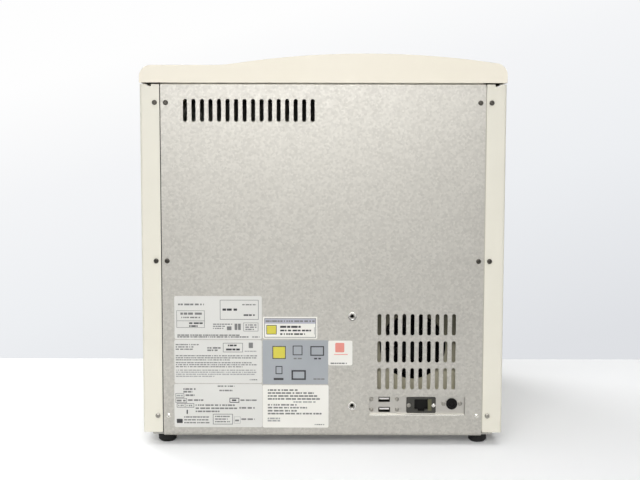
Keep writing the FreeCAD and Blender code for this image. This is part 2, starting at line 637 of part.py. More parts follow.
def belt_loop(extra):
    """Outline of a belt round both pulleys."""
    r1, r2 = pulley_r + extra, motor_pulley_r + extra
    run = V(motor_x - axis_x, motor_y - axis_y, 0)
    span, aim = run.Length, math.atan2(run.y, run.x)
    tilt = math.acos((r1 - r2) / span)
    base = belt_z - belt_h / 2
    def at(cx, cy, r, ang):
        return V(cx + r * math.cos(ang), cy + r * math.sin(ang), base)
    a, b = at(axis_x, axis_y, r1, aim + tilt), at(axis_x, axis_y, r1, aim - tilt)
    c, d = at(motor_x, motor_y, r2, aim - tilt), at(motor_x, motor_y, r2, aim + tilt)
    loop = [Part.Arc(a, at(axis_x, axis_y, r1, aim + math.pi), b).toShape(), Part.makeLine(b, c),
            Part.Arc(c, at(motor_x, motor_y, r2, aim), d).toShape(), Part.makeLine(d, a)]
    return Part.Face(Part.Wire(loop)).extrude(V(0, 0, belt_h))


save("drive_belt", belt_loop(0.3 + 1.0).cut(belt_loop(0.3)))
half = motor_size / 2
motor = block(motor_x - half, motor_x + half, motor_y - half, motor_y + half,
              deck_top, deck_top + motor_h, 4)
motor = motor.fuse([rod(6.4, motor_x, motor_y, deck_top - 2, 4),
                    rod(17, motor_x, motor_y, deck_top + motor_h - 1, 4)])
save("carousel_motor", motor.removeSplitter())
save("motor_shaft", rod(shaft_r, motor_x, motor_y, belt_z - 5, deck_top - 2.3 - belt_z + 5))

# Probe tower
probe_x, probe_y = axis_x, axis_y + cup_pitch_r
screw_y = bulkhead_y - 14.0
tower_top = panel_top - 17.0
tower_h = tower_top - shelf_z
frame = box(probe_x - 30, probe_x + 30, bulkhead_y - 4, bulkhead_y, shelf_z, tower_top)
for z in (shelf_z, tower_top - 5):
    frame = frame.fuse(box(probe_x - 30, probe_x + 30, screw_y - 8, bulkhead_y - 3, z, z + 5))
frame = frame.cut([rod(rod_r, probe_x + s * rod_spread, screw_y, z, 9) for s in (-1, 1)
                   for z in (shelf_z - 1, tower_top - 6)])
frame = frame.cut([rod(rod_r + running_gap, probe_x, screw_y, z, 9) for z in (shelf_z - 1, tower_top - 6)])
save("probe_frame", frame.removeSplitter())
save("probe_guide_rods", *[rod(rod_r, probe_x + s * rod_spread, screw_y, shelf_z, tower_h) for s in (-1, 1)])
save("probe_screw", rod(rod_r, probe_x, screw_y, shelf_z, tower_top - shelf_z - 1))
car_z = shelf_z + carriage_up
carriage = block(probe_x - 25, probe_x + 25, probe_y - 7, bulkhead_y - 7, car_z, car_z + carriage_h, 3)
bores = [(s * rod_spread, screw_y, rod_r + running_gap) for s in (-1, 1)]
bores += [(0, screw_y, rod_r + free_gap), (0, probe_y, probe_r)]
carriage = carriage.cut([rod(r, probe_x + x, y, car_z - 1, carriage_h + 2) for x, y, r in bores])
save("probe_carriage", carriage)
car_top = car_z + carriage_h
needle = rod(probe_r, probe_x, probe_y, shelf_z, car_top - shelf_z)
needle = needle.fuse(rod(3.2, probe_x, probe_y, car_top, 9))
save("sample_probe", needle.cut(rod(probe_r / 2, probe_x, probe_y, shelf_z - 1, tower_h)).removeSplitter())
half = 14.0
save("probe_motor", block(probe_x - half, probe_x + half, screw_y - half, screw_y + half - 1,
                          tower_top, tower_top + 30, 3))
wash = box(probe_x - 12, probe_x + 12, probe_y - 9, screw_y - 8.5, shelf_z - 18, shelf_z - 2)
wash = wash.fuse(box(probe_x - 12, probe_x + 12, screw_y - 9, bulkhead_y, shelf_z - 10, shelf_z - 2))
wash = wash.cut(rod(probe_r + 0.6, probe_x, probe_y, shelf_z - 20, 30))
wash = wash.fuse([rod(2.0, probe_x + s * 12, probe_y - 2, shelf_z - 12, 8, V(s, 0, 0)) for s in (-1, 1)])
save("wash_block", wash.removeSplitter())

# Waste drawer
tray_y = (front + door_thick - 1, front + drawer_depth)
tray = box(drawer_half[0], drawer_half[1], tray_y[0], tray_y[1], drawer_z0 + 2, drawer_z1 - 3)
tray = tray.cut(box(drawer_half[0] + drawer_wall, drawer_half[1] - drawer_wall, tray_y[0] + 1 + drawer_wall,
                    tray_y[1] - drawer_wall, drawer_z0 + 2 + drawer_wall, drawer_z1))
face = box(door_left[0], door_left[1], front, front + door_thick, drawer_z0, drawer_z1)
face = face.makeFillet(1.5, [e for e in face.Edges if e.BoundBox.YMax < front + 1e-6])
pull_x = (door_left[0] + door_left[1]) / 2
pull = plate(70, 14, 6.5, pull_x, drawer_z1 - 12, front - 1, front + door_thick - 2)
save("waste_drawer", face.cut(pull).fuse(tray).removeSplitter())


def door(x0, x1, hinge_left, cut_window):
    """Flush door with a full-round hinge edge and a finger pocket at the free edge."""
    r = door_thick / 2
    hx = x0 + r if hinge_left else x1 - r
    flat = (hx, x1) if hinge_left else (x0, hx)
    leaf = box(flat[0], flat[1], front, front + door_thick, door_z0, door_z1)
    free = x1 if hinge_left else x0
    face_edges = [e for e in leaf.Edges if e.BoundBox.YMax < front + 1e-6]
    edges = [e for e in face_edges if e.BoundBox.XLength > 1 or abs(e.BoundBox.XMin - hx) > 1e-6]
    leaf = leaf.makeFillet(1.5, edges)
    leaf = leaf.fuse(rod(r, hx, hinge_y, door_z0, door_z1 - door_z0))
    away = -1 if hinge_left else 1
    grip = plate(18, 56, 8.9, free + away * 16, (door_z0 + door_z1) / 2, front - 1, front + door_thick - 2.5)
    cuts = [grip]
    for z in (door_z0 - 1, door_z1 - 6.5):
        cuts.append(rod(pin_r + running_gap, hx, hinge_y, z, 7.5))
    if cut_window:
        cx, w = (x0 + x1) / 2 - 4, x1 - x0 - 72
        h = door_z1 - door_z0 - 44
        mid = (door_z0 + door_z1) / 2
        cuts.append(plate(w - 8, h - 8, 8, cx, mid, front - 1, front + door_thick + 1))
        cuts.append(plate(w, h, 12, cx, mid, front - 1, front + 3.0))
    leaf = leaf.removeSplitter().cut(cuts)
    pane = plate(w, h, 12, cx, mid, front + 0.4, front + 3.0) if cut_window else None
    return leaf, pane


leaf, pane = door(door_left[0], door_left[1], True, True)
save("sample_door", leaf)
save("door_window", pane)
leaf, pane = door(door_right[0], door_right[1], False, False)
save("reagent_door", leaf)

# Reagent bay
pack_x = (divider_x + 18, post_x - post_w - 10)
pack_y = (split_y - 20, bulkhead_y - 74)
pack = block(pack_x[0], pack_x[1], pack_y[0], pack_y[1], pack_z, pack_top, 4)
ports = [(x, y) for x in (pack_x[0] + 24, pack_x[1] - 24) for y in (pack_y[1] - 40, pack_y[1] - 70)]
pack = pack.fuse([rod(9, x, y, pack_top - 1, 6) for x, y in ports])
pack = pack.cut([rod(6, x, y, pack_top - 34, 50) for x, y in ports])
save("reagent_pack", pack.removeSplitter())
bar_y = pack_y[1] - 55
rod_y = bulkhead_y - 40
bar_x = (pack_x[0] + 12, pack_x[1] - 12)
mid_x = (bar_x[0] + bar_x[1]) / 2
bar = box(bar_x[0], bar_x[1], bar_y - 21, bar_y + 21, bar_z, bar_z + 8)
bar = bar.fuse(box(mid_x - 12, mid_x + 12, bar_y + 19, rod_y + 10, bar_z, bar_z + 8))
bar = bar.fuse([rod(1.5, x, y, bar_z - 42, 43) for x, y in ports])
bar = bar.cut([rod(rod_r + running_gap, mid_x + s * 7, rod_y, bar_z - 1, 10) for s in (-1, 1)])
save("reagent_probes", bar.removeSplitter())
slide = box(mid_x - 16, mid_x + 16, rod_y + 14, bulkhead_y, bar_z - 60, bar_z + 40)
slide = slide.fuse([box(mid_x - 16, mid_x + 16, rod_y - 8, rod_y + 15, z, z + 6)
                    for z in (bar_z - 60, bar_z + 34)])
slide = slide.fuse([rod(rod_r, mid_x + s * 7, rod_y, bar_z - 60, 100) for s in (-1, 1)])
save("reagent_drive", slide.removeSplitter())

# Fluidics, behind the bulkhead
pump_x = post_x - 47.5
pump_y = (inner_y - 21.4 - pump_d, inner_y - 21.4)
stroke_y = pump_y[0] - 14
head_z = pump_h - 18.0
barrel_z = head_z - 82.0
pump = box(pump_x - pump_w / 2, pump_x + pump_w / 2, pump_y[0], pump_y[1], pan_z, pan_z + pump_h)
arms = [box(pump_x - 22, pump_x + 22, stroke_y - 14, pump_y[0] + 1, z, z + 8)
        for z in (pan_z + 14, barrel_z, head_z - 8)]
pump = pump.fuse(arms)
pump = pump.cut([rod(barrel_r, pump_x, stroke_y, barrel_z - 1, 84),
                 rod(4.5, pump_x, stroke_y, pan_z + 13, 12)])
save("syringe_pump", pump.removeSplitter())
barrel = rod(barrel_r, pump_x, stroke_y, barrel_z, 82).cut(rod(4.6, pump_x, stroke_y, barrel_z - 1, 79))
save("syringe_barrel", barrel.cut(rod(1.0, pump_x, stroke_y, barrel_z + 68, 20)))
plunger = rod(4.55, pump_x, stroke_y, barrel_z + 56, 8).fuse(rod(2.2, pump_x, stroke_y, barrel_z - 34, 91))
plunger = plunger.fuse(rod(7.0, pump_x, stroke_y, barrel_z - 38, 5))
save("syringe_plunger", plunger.removeSplitter())
valve = rod(13.5, pump_x, stroke_y, head_z, 24).fuse(
    [rod(3.0, pump_x, stroke_y, head_z + 10, 21, V(math.cos(math.radians(a)), -math.sin(math.radians(a)), 0))
     for a in (0, 60, 120, 180)])
save("selector_valve", valve.removeSplitter())

# Optics, behind the bulkhead: lamp, flow cell, lens and camera in one line on a rail
rail_x, rail_y = bracket_x + 16.4, bulkhead_y + 4
line_y, line_z = rail_y + rail_w / 2, rail_z + 40.0
lamp_x = rail_x + 6
cell_x = lamp_x + lamp_l + 21
lens_x = cell_x + cell_t + 6
camera_x = rail_x + rail_l - 8 - camera_l
rail = box(rail_x, rail_x + rail_l, rail_y, rail_y + rail_w, rail_z, rail_z + 8)
rail = rail.fuse([rod(6, x, y, pan_z, rail_z - pan_z + 1) for x in (rail_x + 8, rail_x + rail_l - 8)
                  for y in (rail_y + 8, rail_y + rail_w - 8)])
stands = [(lamp_x, lamp_x + lamp_l, 14, line_z - 15), (cell_x - 4, cell_x + cell_t + 4, 10, line_z - 20),
          (camera_x - 6, camera_x + camera_l + 4, 12, line_z - 22)]
rail = rail.fuse([box(x0, x1, line_y - half, line_y + half, rail_z + 7, z) for x0, x1, half, z in stands])
save("optics_bench", rail.removeSplitter())
lamp = box(lamp_x, lamp_x + lamp_l, line_y - 15, line_y + 15, line_z - 15, line_z + 15)
nozzle = rod(9, lamp_x + lamp_l, line_y, line_z, 8, V(1, 0, 0))
save("light_source", lamp.fuse(nozzle).removeSplitter())
cell = box(cell_x, cell_x + cell_t, line_y - 9, line_y + 9, line_z - 20, line_z + 20)
lumen = box(cell_x + 2, cell_x + cell_t - 2, line_y - 4, line_y + 4, line_z - 21, line_z + 21)
save("flow_cell", cell.cut(lumen))
camera = box(camera_x, camera_x + camera_l, line_y - camera_half, line_y + camera_half,
             line_z - 22 + free_gap, line_z + camera_half)
lens = rod(11.0, lens_x + 7, line_y, line_z, camera_x - lens_x - 7, V(1, 0, 0))
lens = lens.fuse(rod(7.0, lens_x, line_y, line_z, 8, V(1, 0, 0)))
save("focus_camera", camera.fuse(lens).removeSplitter())

# Display and power button on the leaning face
glass = plate(display_w, display_h, 6, 0, 0, 0.4, 3.0)
save("display_glass", on_face(glass, display_x, display_up))
house = plate(display_w - 8, display_h - 8, 4, 0, 0, 3.0, 18.0)
save("display_housing", on_face(house, display_x, display_up))
ring = rod(15.2, 0, 0, 0, 9.0, REARWARD).fuse(rod(18.0, 0, -1.0, 0, 1.0, REARWARD))
ring = ring.cut(rod(button_r + running_gap, 0, -2, 0, 12, REARWARD))
save("button_ring", on_face(ring.removeSplitter(), button_x, display_up))
knob = rod(button_r, 0, -button_lift, 0, 10.0, REARWARD)
knob = knob.makeChamfer(0.8, [e for e in knob.Edges if e.BoundBox.YMax < 0.1 - button_lift])
save("power_button", on_face(knob, button_x, display_up))
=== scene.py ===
# %% [markdown]
# # A benchtop cell counter, seen from behind
# The machine counts living and dead cells in small cups. Its mechanical model comes packed as named
# nodes, already in place and in metres. This lesson dresses it: each node gets the finish of the real
# material, and thin things that the model leaves out, such as the stickers, are built here.

# %% Load the frame
import math

import bmesh
import bpy
from mathutils import Matrix, Vector


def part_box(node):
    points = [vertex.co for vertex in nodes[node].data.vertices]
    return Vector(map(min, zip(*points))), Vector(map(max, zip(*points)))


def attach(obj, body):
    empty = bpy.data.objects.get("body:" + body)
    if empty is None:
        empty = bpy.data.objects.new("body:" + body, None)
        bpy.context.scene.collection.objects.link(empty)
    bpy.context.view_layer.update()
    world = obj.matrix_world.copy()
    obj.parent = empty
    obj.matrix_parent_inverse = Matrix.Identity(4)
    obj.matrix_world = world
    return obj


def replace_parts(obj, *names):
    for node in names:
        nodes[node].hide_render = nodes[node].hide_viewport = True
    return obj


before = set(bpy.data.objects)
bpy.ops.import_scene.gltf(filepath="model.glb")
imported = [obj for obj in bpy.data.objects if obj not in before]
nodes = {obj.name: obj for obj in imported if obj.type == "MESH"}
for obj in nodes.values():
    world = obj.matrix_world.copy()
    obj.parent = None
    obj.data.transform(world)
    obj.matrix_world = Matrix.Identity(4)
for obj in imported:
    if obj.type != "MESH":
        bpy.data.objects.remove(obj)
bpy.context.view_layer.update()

# %% [markdown]
# ## Colour and node helpers
# Colours are written as they look on a screen, in sRGB hex. Shaders want linear light, so one function
# converts them. A second function adds a shader node: plain values go into its sockets, other nodes'
# outputs are linked to them. That is all the machinery that the materials below need.

# %% Two small helpers
MM = 0.001


def linear(code):
    """sRGB hex such as 'f4efdf' as linear RGBA."""
    parts = [int(code[i:i + 2], 16) / 255 for i in (0, 2, 4)]
    return [c / 12.92 if c <= 0.04045 else ((c + 0.055) / 1.055) ** 2.4 for c in parts] + [1.0]


def socket(sockets, key):
    """A socket by its number, or by name among those that the node's settings use."""
    return sockets[key] if isinstance(key, int) else next(s for s in sockets if s.name == key and s.enabled)


def add(tree, kind, sockets=None, **settings):
    """A new shader node with its settings. Its sockets take values, outputs or other nodes' results."""
    node = tree.nodes.new(kind)
    for key, value in settings.items():
        setattr(node, key, value)
    for key, value in (sockets or {}).items():
        if isinstance(value, bpy.types.Node):
            value = next(s for s in value.outputs if s.enabled)
        if isinstance(value, bpy.types.NodeSocket):
            tree.links.new(value, socket(node.inputs, key))
        else:
            socket(node.inputs, key).default_value = value
    return node


def start(name):
    """An empty node material and its tree."""
    material = bpy.data.materials.new(name)
    material.use_nodes = True
    material.node_tree.nodes.clear()
    return material, material.node_tree


def close(tree, shader):
    add(tree, "ShaderNodeOutputMaterial", {"Surface": shader})


def per_mm(size):
    """Texture scale that gives features of this many millimetres."""
    return 1.0 / (size * MM)


# %% [markdown]
# ## Moulded polyurethane
# The top cover, the front and the doors are moulded in a rigid foam plastic and painted with a
# textured cream paint. Up close the paint has a fine, even grain, and it is neither shiny nor chalky.
# A noise at the size of that grain drives the bump, and a second, hand-sized noise shifts the
# colour very slightly, because a large moulding is never perfectly even.

# %% Painted moulding
def painted_moulding(name, hex_main, hex_shade, grain_mm=0.9, rough=0.52):
    material, tree = start(name)
    place = add(tree, "ShaderNodeTexCoord")
    at = place.outputs["Object"]
    cloud = add(tree, "ShaderNodeTexNoise", {"Vector": at, "Scale": per_mm(70), "Detail": 2.0})
    colour = add(tree, "ShaderNodeMix", {"Factor": cloud.outputs["Fac"], "A": linear(hex_shade),
                                         "B": linear(hex_main)}, data_type="RGBA")
    grain = add(tree, "ShaderNodeTexNoise", {"Vector": at, "Scale": per_mm(grain_mm), "Detail": 3.0})
    bump = add(tree, "ShaderNodeBump", {"Height": grain.outputs["Fac"], "Strength": 0.25,
                                        "Distance": 0.12 * MM})
    gloss = add(tree, "ShaderNodeMapRange", {"Value": grain.outputs["Fac"], "To Min": rough - 0.05,
                                             "To Max": rough + 0.06})
    close(tree, add(tree, "ShaderNodeBsdfPrincipled", {
        "Base Color": colour, "Roughness": gloss, "IOR": 1.5, "Normal": bump}))
    return material


cover_paint = painted_moulding("cream_textured_paint_on_polyurethane", "f2ebdb", "eee7d5")
drawer_paint = painted_moulding("cream_moulded_abs", "f1ebdb", "ece5d3", grain_mm=0.6, rough=0.42)

# %% [markdown]
# ## Powder coat on steel
# The side covers are bent from steel sheet and powder coated a greyer cream. Baked powder flows into
# a soft orange peel, about two millimetres from bump to bump, under a semi-matt skin. The plate behind
# the fan is coated too, and its colour turns paler towards the bottom: painted light on its lower part.

# %% Powder coat
PEEL_MM = 2.0
# Between these heights the fan plate's colour turns paler downwards: painted light.
UNLIT_ABOVE_MM = 140
LIT_BELOW_MM = 90


def powder_coat(name, hex_main, hex_shade, rough=0.44, painted_light_hex=None):
    material, tree = start(name)
    at = add(tree, "ShaderNodeTexCoord").outputs["Object"]
    cloud = add(tree, "ShaderNodeTexNoise", {"Vector": at, "Scale": per_mm(90), "Detail": 2.0})
    colour = add(tree, "ShaderNodeMix", {"Factor": cloud.outputs["Fac"], "A": linear(hex_shade),
                                         "B": linear(hex_main)}, data_type="RGBA")
    # A paler colour towards the bottom: painted light where light falls through the slots onto the plate.
    if painted_light_hex:
        height = add(tree, "ShaderNodeSeparateXYZ", {"Vector": at}).outputs["Z"]
        painted_light_share = add(tree, "ShaderNodeMapRange", {"Value": height, "From Min": UNLIT_ABOVE_MM * MM,
                                                   "From Max": LIT_BELOW_MM * MM})
        colour = add(tree, "ShaderNodeMix", {"Factor": painted_light_share, "A": colour, "B": linear(painted_light_hex)},
                     data_type="RGBA")
    peel = add(tree, "ShaderNodeTexNoise", {"Vector": at, "Scale": per_mm(PEEL_MM), "Detail": 1.0})
    bump = add(tree, "ShaderNodeBump", {"Height": peel.outputs["Fac"], "Strength": 0.22,
                                        "Distance": 0.1 * MM})
    gloss = add(tree, "ShaderNodeMapRange", {"Value": cloud.outputs["Fac"], "To Min": rough - 0.04,
                                             "To Max": rough + 0.05})
    close(tree, add(tree, "ShaderNodeBsdfPrincipled", {
        "Base Color": colour, "Roughness": gloss, "IOR": 1.5, "Normal": bump}))
    return material


side_paint = powder_coat("cream_powder_coat_on_steel", "e8e4d6", "e2decf")
# The paler colour on the lower part of this plate is painted light.
plate_paint = powder_coat("olive_grey_powder_coat_on_steel", "5c5947", "4f4c3c", rough=0.6, painted_light_hex="b3ae98")

# %% [markdown]
# ## Hot-dip galvanised sheet
# The rear panel and the frame are bare galvanised steel. The zinc freezes in crystals, the spangle:
# flat patches a few millimetres across, each a slightly different grey and gloss. A Voronoi texture
# gives one random value per crystal. Its coordinates are bent by a little noise, so that the crystal
# borders aren't ruler-straight, and a longer noise adds the cloudy, handled look of old zinc.

# %% Galvanised sheet
def galvanised(name, hex_light, hex_dark, spangle_mm=2.4, contrast=0.6, metal=0.85, rough=0.42):
    material, tree = start(name)
    at = add(tree, "ShaderNodeTexCoord").outputs["Object"]
    ripple = add(tree, "ShaderNodeTexNoise", {"Vector": at, "Scale": per_mm(spangle_mm * 0.8), "Detail": 2.0})
    bent = add(tree, "ShaderNodeMix", {"Factor": 0.0012, "A": at, "B": ripple.outputs["Color"]},
               data_type="VECTOR")
    crystal = add(tree, "ShaderNodeTexVoronoi", {"Vector": bent, "Scale": per_mm(spangle_mm)})
    split = add(tree, "ShaderNodeSeparateColor", {"Color": crystal.outputs["Color"]})
    cloud = add(tree, "ShaderNodeTexNoise", {"Vector": at, "Scale": per_mm(55), "Detail": 5.0,
                                             "Roughness": 0.68})
    blend = add(tree, "ShaderNodeMix", {"Factor": contrast, "A": cloud.outputs["Fac"],
                                        "B": split.outputs["Red"]})
    colour = add(tree, "ShaderNodeMix", {"Factor": blend, "A": linear(hex_dark), "B": linear(hex_light)},
                 data_type="RGBA")
    gloss = add(tree, "ShaderNodeMapRange", {"Value": split.outputs["Green"], "To Min": rough - 0.05,
                                             "To Max": rough + 0.05})
    frost = add(tree, "ShaderNodeTexNoise", {"Vector": at, "Scale": per_mm(0.8), "Detail": 3.0})
    height = add(tree, "ShaderNodeMath", {0: split.outputs["Blue"], 1: frost.outputs["Fac"]})
    bump = add(tree, "ShaderNodeBump", {"Height": height, "Strength": 0.2, "Distance": 0.05 * MM})
    close(tree, add(tree, "ShaderNodeBsdfPrincipled", {
        "Base Color": colour, "Metallic": metal, "Roughness": gloss, "Normal": bump}))
    return material


zinc_sheet = galvanised("hot_dip_galvanised_sheet", "cdcac2", "b5b2ab", rough=0.5)
inner_sheet = galvanised("electro_galvanised_frame_sheet", "c6c4be", "aaa8a2", spangle_mm=3.0, contrast=0.25)

# %% [markdown]
# ## Turned, ground and plated metal
# Screws, rods, plates and the connector plate are small metal parts. What tells them apart is the
# base colour, how smooth they are and which way the machining runs. One function takes a stretch for
# the noise: equal on all axes for plating, long on one axis for brushed or ground bars.

# %% Small metal parts
def machined(name, hex_main, rough, stretch=(1, 1, 1), grain_mm=0.6, metal=1.0):
    material, tree = start(name)
    at = add(tree, "ShaderNodeTexCoord").outputs["Object"]
    drawn = add(tree, "ShaderNodeMapping", {"Vector": at, "Scale": stretch})
    grain = add(tree, "ShaderNodeTexNoise", {"Vector": drawn.outputs["Vector"], "Scale": per_mm(grain_mm),
                                             "Detail": 4.0})
    tone = add(tree, "ShaderNodeMapRange", {"Value": grain.outputs["Fac"], "To Min": 0.92, "To Max": 1.04})
    colour = add(tree, "ShaderNodeMix", {"Factor": 1.0, "A": linear(hex_main), "B": tone},
                 data_type="RGBA", blend_type="MULTIPLY")
    gloss = add(tree, "ShaderNodeMapRange", {"Value": grain.outputs["Fac"], "To Min": rough * 0.8,
                                             "To Max": rough * 1.25})
    bump = add(tree, "ShaderNodeBump", {"Height": grain.outputs["Fac"], "Strength": 0.12,
                                        "Distance": 0.03 * MM})
    close(tree, add(tree, "ShaderNodeBsdfPrincipled", {
        "Base Color": colour, "Metallic": metal, "Roughness": gloss, "Normal": bump}))
    return material


nickel_plate = machined("nickel_plated_steel", "c2bfb8", 0.36)
nickel_bright = machined("bright_nickel_plated_steel", "e4e2dc", 0.24)
zinc_screw = machined("zinc_plated_screw_steel", "a8a59d", 0.28, grain_mm=0.8)
# A darker copy of the screw steel: painted shade on the case's upper rows of screws.
dark_screw = machined("dark_screw_steel", "5d5a54", 0.36, grain_mm=0.8)
# The connector shells are darkened: painted shade of the ports' shadowed insides, on plating that is bright.
shaded_shell_steel = machined("tin_plated_shell_with_painted_shade", "6b6862", 0.4)
bronze_spring = machined("aged_phosphor_bronze", "75735a", 0.42)
stainless = machined("ground_stainless_steel", "bfc0c0", 0.24, stretch=(1, 1, 0.05))
clear_anodised = machined("clear_anodised_aluminium", "c9cbcc", 0.36, stretch=(0.08, 1, 1))
black_anodised = machined("black_anodised_aluminium", "26272a", 0.4, metal=0.6)

# %% [markdown]
# ## Plastics and rubber
# Connectors and the fan are injection moulded in black or white engineering plastic with a fine
# spark-eroded texture. The feet are moulded rubber: softer gloss, with a bloom of pale dust on the
# raised grain. Both come from the same recipe with another grain and roughness. Foam and the fan
# blades shine less than a smooth moulding, so they get a lower specular level.

# %% Moulded plastic and rubber
BLOOM_SHARE = 0.25


def moulded(name, hex_main, hex_bloom, rough, grain_mm=0.5, shine=0.5):
    material, tree = start(name)
    at = add(tree, "ShaderNodeTexCoord").outputs["Object"]
    grain = add(tree, "ShaderNodeTexNoise", {"Vector": at, "Scale": per_mm(grain_mm), "Detail": 3.0})
    dust = add(tree, "ShaderNodeTexNoise", {"Vector": at, "Scale": per_mm(12), "Detail": 3.0})
    share = add(tree, "ShaderNodeMath", {0: dust.outputs["Fac"], 1: BLOOM_SHARE}, operation="MULTIPLY")
    colour = add(tree, "ShaderNodeMix", {"Factor": share, "A": linear(hex_main),
                                         "B": linear(hex_bloom)}, data_type="RGBA")
    gloss = add(tree, "ShaderNodeMapRange", {"Value": grain.outputs["Fac"], "To Min": rough - 0.06,
                                             "To Max": rough + 0.08})
    bump = add(tree, "ShaderNodeBump", {"Height": grain.outputs["Fac"], "Strength": 0.2,
                                        "Distance": 0.08 * MM})
    close(tree, add(tree, "ShaderNodeBsdfPrincipled", {
        "Base Color": colour, "Roughness": gloss, "IOR": 1.5, "Specular IOR Level": shine,
        "Normal": bump}))
    return material


foot_rubber = moulded("black_moulded_rubber", "0e0e0d", "262523", 0.72, grain_mm=0.8)
belt_rubber = moulded("neoprene_belt", "1a1a1b", "3a3a3a", 0.62, grain_mm=0.4)
black_nylon = moulded("black_moulded_nylon", "17171a", "3a3a3c", 0.4)
connector_black = moulded("black_connector_nylon", "0e0d0c", "1c1a18", 0.6, shine=0.2)
coupler_nylon = moulded("charcoal_connector_nylon", "33322d", "4c4a42", 0.46)
fan_plastic = moulded("black_fan_pbt", "060606", "101010", 0.6, shine=0.12)
# This dark foam is painted shade in the seam along the left side cover.
painted_shade_foam = moulded("conductive_foam_painted_shade", "2a2925", "3a3934", 0.9, shine=0.1)
grey_foam = moulded("grey_conductive_foam", "c2bfb4", "b4b1a6", 0.9, shine=0.1)
white_print = moulded("white_screen_print", "e6e6e2", "d8d8d4", 0.5)
white_nylon = moulded("white_moulded_nylon", "efeee9", "d9d7cf", 0.38)
grey_abs = moulded("grey_moulded_abs", "7d8287", "989c9f", 0.45)
pack_plastic = moulded("white_blow_moulded_pack", "dfe3e6", "cfd5da", 0.4)
board_resist = moulded("green_solder_resist", "1d5a35", "2a6d43", 0.3, grain_mm=1.2)

# %% [markdown]
# ## Glass and acrylic
# The syringe and the flow cell are clear glass, the sample door has a smoked acrylic window and the
# display lies under black-printed cover glass. Clear parts use transmission. The cover glass is a
# black surface under a polished coat, since nothing shows through it while the machine is off.

# %% Clear and dark glass
def clear(name, hex_main, rough, ior):
    material, tree = start(name)
    at = add(tree, "ShaderNodeTexCoord").outputs["Object"]
    smear = add(tree, "ShaderNodeTexNoise", {"Vector": at, "Scale": per_mm(60), "Detail": 3.0})
    gloss = add(tree, "ShaderNodeMapRange", {"Value": smear.outputs["Fac"], "To Min": rough,
                                             "To Max": rough + 0.06})
    close(tree, add(tree, "ShaderNodeBsdfPrincipled", {
        "Base Color": linear(hex_main), "Roughness": gloss, "IOR": ior,
        "Transmission Weight": 1.0}))
    return material


def printed_glass(name, hex_main):
    material, tree = start(name)
    at = add(tree, "ShaderNodeTexCoord").outputs["Object"]
    smear = add(tree, "ShaderNodeTexNoise", {"Vector": at, "Scale": per_mm(45), "Detail": 4.0})
    gloss = add(tree, "ShaderNodeMapRange", {"Value": smear.outputs["Fac"], "To Min": 0.05, "To Max": 0.14})
    close(tree, add(tree, "ShaderNodeBsdfPrincipled", {
        "Base Color": linear(hex_main), "Roughness": gloss, "IOR": 1.52,
        "Coat Weight": 0.6, "Coat Roughness": 0.04}))
    return material


borosilicate = clear("borosilicate_glass", "eef4f4", 0.02, 1.47)
smoked_acrylic = clear("smoked_acrylic", "4d545a", 0.03, 1.49)
cover_glass = printed_glass("black_printed_cover_glass", "0b0c0e")

# %% [markdown]
# ## Dress the model's nodes
# Each node of the model takes the finish of its real material. Its edges also get a small bevel: a
# real edge is never sharp, and the thin light line along it is what makes a part look made. The
# bevel is a modifier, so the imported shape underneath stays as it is.

# %% Finishes and edge widths of the nodes
FINISH = {
    cover_paint: ["top_cover", "front_fascia", "sample_door", "reagent_door"],
    drawer_paint: ["waste_drawer"],
    side_paint: ["side_cover_left", "side_cover_right"],
    zinc_sheet: ["rear_panel"],
    inner_sheet: ["base_pan", "frame_posts", "bulkhead", "bay_divider", "electronics_bracket"],
    plate_paint: ["fan_plate"],
    nickel_plate: ["io_plate"],
    shaded_shell_steel: ["usb_sockets"],
    foot_rubber: ["rubber_feet"],
    black_nylon: ["display_housing"],
    coupler_nylon: ["network_socket"],
    white_nylon: ["usb_tongues", "wash_block", "selector_valve"],
    fan_plastic: ["fan_housing", "fan_rotor"],
    board_resist: ["main_board"],
    clear_anodised: ["stage_deck", "carousel_pulley", "motor_pulley", "probe_frame", "reagent_drive",
                     "button_ring"],
    black_anodised: ["carousel_disc", "carousel_motor", "probe_carriage", "probe_motor", "optics_bench",
                     "light_source", "focus_camera"],
    stainless: ["spindle_bearings", "carousel_spindle", "motor_shaft", "probe_guide_rods", "probe_screw",
                "sample_probe", "syringe_plunger", "reagent_probes", "hinge_pins"],
    belt_rubber: ["drive_belt"],
    grey_abs: ["cup_holders", "syringe_pump", "power_button"],
    pack_plastic: ["reagent_pack"],
    borosilicate: ["syringe_barrel", "flow_cell"],
    smoked_acrylic: ["door_window"],
    cover_glass: ["display_glass"],
}
EDGE_MM = {"top_cover": 0.8, "front_fascia": 0.6, "side_cover_left": 0.3, "side_cover_right": 0.3,
           "rear_panel": 0.25, "stage_deck": 0.5, "reagent_pack": 0.8, "sample_door": 0.5,
           "reagent_door": 0.5, "waste_drawer": 0.5, "probe_carriage": 0.4, "carousel_disc": 0.3}
SMALL_EDGE_MM = 0.15
SHARP_DEG = 35


def soften(piece, width):
    """Small bevels on the sharp edges of a node, and smooth shading between them."""
    bevel = piece.modifiers.new("edges", "BEVEL")
    bevel.width = width * MM
    bevel.segments = 2
    bevel.limit_method = "ANGLE"
    bevel.angle_limit = math.radians(SHARP_DEG)
    bevel.use_clamp_overlap = True
    bevel.harden_normals = True
    for face in piece.data.polygons:
        face.use_smooth = True


for material, names in FINISH.items():
    for name in names:
        mesh = nodes[name].data
        mesh.materials.clear()
        mesh.materials.append(material)
dressed = sorted(name for names in FINISH.values() for name in names)
print("dressed:", len(dressed), "to be replaced:", sorted(set(nodes) - set(dressed)))

# %% [markdown]
# ## Small builders
# The pieces below that the model doesn't carry are thin or turned. Three builders cover them: a thin
# rounded slab that faces the back, a form turned about an axis that points back, and a finisher that
# turns the collected mesh into a piece and lets it ride on a body. They work in millimetres.

